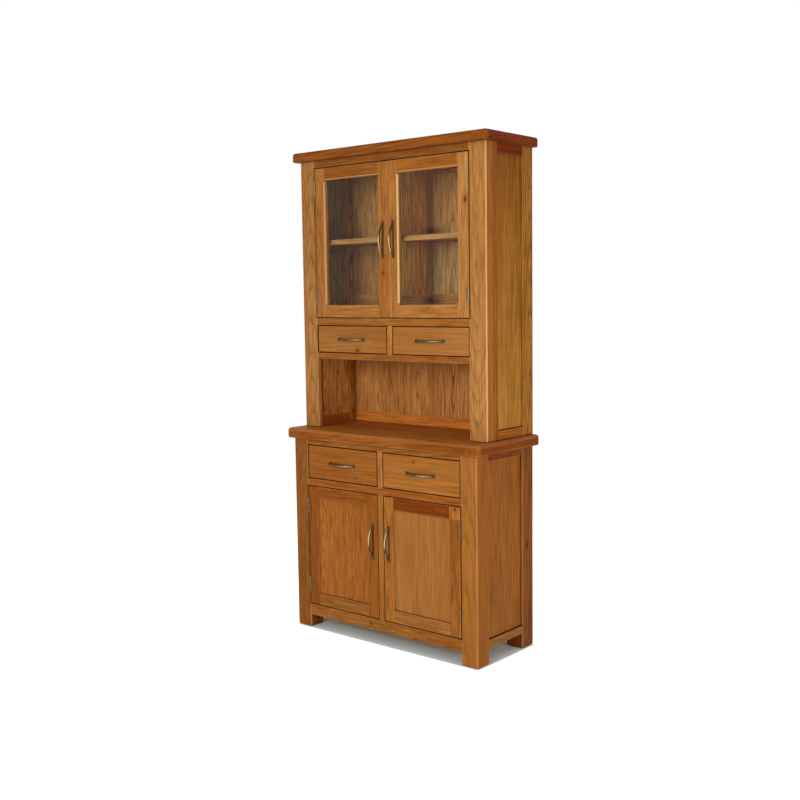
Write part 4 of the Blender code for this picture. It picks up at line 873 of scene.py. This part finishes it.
# Bow handle in its own axes (along, across, out): a rounded section carried on an arc from foot to foot, its
# width and thickness going from the neck's to the bow's with the cosine of the way along
def handleSolids(plan, highlightAt, highlightBy):
    footMiddle = (plan["length"] - plan["footLength"]) / 2
    start = plan["footHeight"] / 2
    rise = plan["projection"] - plan["thickness"][1] / 2 - start
    radius = (footMiddle ** 2 + rise ** 2) / (2 * rise)
    share = np.linspace(-1, 1, 49)[:, None]
    angle = np.arcsin(footMiddle / radius) * share
    turn = np.linspace(0, 2 * np.pi, 24, endpoint=False)[None]
    fullness = np.cos(share * np.pi / 2)
    halfWidth, halfThickness = [(neck + (bow - neck) * fullness) / 2 for neck, bow in
                                (plan["width"], plan["thickness"])]
    cosine, sine = [np.sign(wave) * np.abs(wave) ** plan["squareness"] for wave in (np.cos(turn), np.sin(turn))]
    across, reach = halfWidth * cosine, radius + halfThickness * sine
    points = np.stack([reach * np.sin(angle), across + 0 * angle, start + rise - radius + reach * np.cos(angle)],
                      axis=-1)
    crown = np.clip(np.cos(turn - np.radians(108)) * 4.0 - 2.8, 0, 1)  # a painted highlight in a line beside its crown, strongest at the given place along the bow
    paintedHighlight = np.clip(1 - ((share - highlightAt) / 0.55) ** 2, 0, 1)  # most where the hand takes it
    # some wear on the outer face, with the painted highlight on top
    wear = 0.05 + 0.06 * np.clip(np.sin(turn), 0, 1) + crown * paintedHighlight * highlightBy
    solids = [{"points": points.reshape(-1, 3), "faces": gridFaces(*wear.shape), "wear": wear.ravel()}]
    b = plan["footWidth"] / 2
    stations = [(part * plan["footHeight"], inset) for part, inset in plan["footProfile"]]
    for middle in (-footMiddle, footMiddle):
        a0, a1 = middle - plan["footLength"] / 2, middle + plan["footLength"] / 2
        foot = carried(rectangle((a0, -b), (a1, b)), plan["corner"], 2, stations, steps=4)
        foot["wear"] = np.full(len(foot["points"]), 0.10)
        solids.append(foot)
    return solids


# One handle on each door, upright, and on each drawer, level
def makeHandles(plan):
    for front, paintedHighlight in plan["paintedHighlight"].items():
        for side in ("left", "right"):
            body = f"{front}_{side}"
            low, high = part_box(body + "_handle")
            middle = (low + high) / 2
            solids = handleSolids(plan, *paintedHighlight)
            for solid in solids:
                along, across, out = solid["points"].T
                x, z = (across, along) if "door" in front else (along, across)
                solid["points"] = np.stack([middle.x + x, high.y - out, middle.z + z], axis=-1)
            makePiece(body + "_handle", solids, "antique_brass", body)


cadOakPlan = {
    "base_drawer_left_front": {"heart": (0.05, 0.01), "lean": (0.02, 0.01), "tone": 0.82, "tint": "amber",
                               "figure": 0.6, "knot": (-0.128, -0.166, 0.6354, 0.0018)},
    "base_drawer_right_front": {"heart": (0.06, -0.02), "lean": (0.015, 0.0), "figure": 0.6,
                                "knot": (0.163, -0.166, 0.724, 0.0025)},
    "hutch_drawer_left_front": {"heart": (0.05, -0.01), "lean": (0.02, 0.005), "tone": 0.90, "tint": "golden",
                                "figure": 0.45, "knot": (-0.164, -0.099, 1.1234, 0.0040)},
    "hutch_drawer_right_front": {"heart": (0.07, 0.0), "lean": (0.01, 0.0), "tone": 1.01, "tint": "golden",
                                 "figure": 0.40},
    "base_drawer_left_box": {"grain": 1}, "base_drawer_right_box": {"grain": 1},
    "hutch_drawer_left_box": {"grain": 1}, "hutch_drawer_right_box": {"grain": 1},
    "base_floor": {}, "base_shelf": {},
}


# CAD pieces whose shape is right get the same oak, with their own pith and direction, mostly along X
def paintCadOak(plan):
    for node, values in plan.items():
        growth = grow({"points": np.array(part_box(node))}, **{"grain": 0, **values})
        material = oakFinish("oak_" + node, growth)
        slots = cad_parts[node].data.materials
        for index in range(len(slots)):
            slots[index] = material


makeLegs(legPlan)
makeSides(sidePlan)
makePosts(postPlan)
makeTops(topPlan)
makeBacks(backPlan)
makePartition(partitionPlan)
makeRails(railPlan)
makeDecks(railPlan)
print("carcass made")
makeDoors(doorPlan)
makeHinges(hingePlan, doorPlan["thickness"])
makeHandles(handlePlan)
paintCadOak(cadOakPlan)
print("doors, drawers and fittings made")


stagePlan = {
    "floorSize": 6.0, "floorDrop": 0.0005, "floorGlow": 0.8, "glowReach": 0.010, "fadeFrom": 1.6, "ambient": 0.50,
    "aim": (0.0, 0.0, 0.95),
    "lamps": {"key": {"place": (0.5, -4.5, 2.1), "size": 2.4, "power": 92.0},
              "side": {"place": (2.7, -0.6, 0.95), "size": 1.6, "power": 18.0}},
}


def seenRay(paint):  # 1 for a ray from the camera, or from gloss or glass
    camera, glossy, through = [paint.node("ShaderNodeLightPath", out=f"Is {kind} Ray") for kind in
                               ("Camera", "Glossy", "Transmission")]
    return paint.clamp(camera + glossy + through)


# A white floor that keeps the shadow and fades into the background, and soft lamps round it
def makeStage(plan):
    size = plan["floorSize"]
    mesh = bpy.data.meshes.new("floor")
    mesh.from_pydata([(-size, -size, 0), (size, -size, 0), (size, size, 0), (-size, size, 0)], [], [(0, 1, 2, 3)])
    floor = addObject("floor", mesh)
    floor.location.z = -plan["floorDrop"]
    paint = Paint(bpy.data.materials.new("paleFloor"))
    paint.set(Base_Color=(0.87, 0.96, 0.95, 1), Roughness=0.9, Specular_IOR_Level=0.0)
    place = paint.place()
    low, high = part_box("base_leg_front_left")[0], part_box("base_leg_back_right")[1]
    middle = ((low.x + high.x) / 2, (low.y + high.y) / 2, 0)
    half = ((high.x - low.x) / 2, (high.y - low.y) / 2, 1)
    beyond = paint.vector("ABSOLUTE", paint.vector("SUBTRACT", place, middle))
    beyond = paint.vector("MAXIMUM", paint.vector("SUBTRACT", beyond, half))
    glow = paint.clamp(paint.length(beyond) / plan["glowReach"])  # from how far a point lies outside the feet
    shine = glow * seenRay(paint) * plan["floorGlow"]
    paint.set(Emission_Color=paint.node("ShaderNodeCombineColor", None, {0: shine, 1: shine, 2: shine}),
              Emission_Strength=1.0)
    paint.seeThrough(paint.clamp((paint.length(place) - plan["fadeFrom"]) / plan["fadeFrom"]))
    mesh.materials.append(paint.holder)

    world = bpy.data.worlds.new("studio")
    bpy.context.scene.world = world
    sky = Paint(world)
    background = sky.tree.nodes["Background"]
    sky.plug(background.inputs["Strength"], seenRay(sky) * (1.0 - plan["ambient"]) + plan["ambient"])
    sky.plug(background.inputs["Color"], (1, 1, 1, 1))

    for name, values in plan["lamps"].items():
        data = bpy.data.lights.new(name, "AREA")
        data.shape = "DISK"
        data.size = values["size"]
        data.energy = values["power"]
        lamp = addObject(name, data)
        lamp.location = values["place"]
        lamp.rotation_mode = "QUATERNION"
        lamp.rotation_quaternion = Vector(np.subtract(plan["aim"], values["place"])).to_track_quat("-Z", "Y")


makeStage(stagePlan)
bpy.context.scene.view_settings.view_transform = "Standard"
print("stage made")
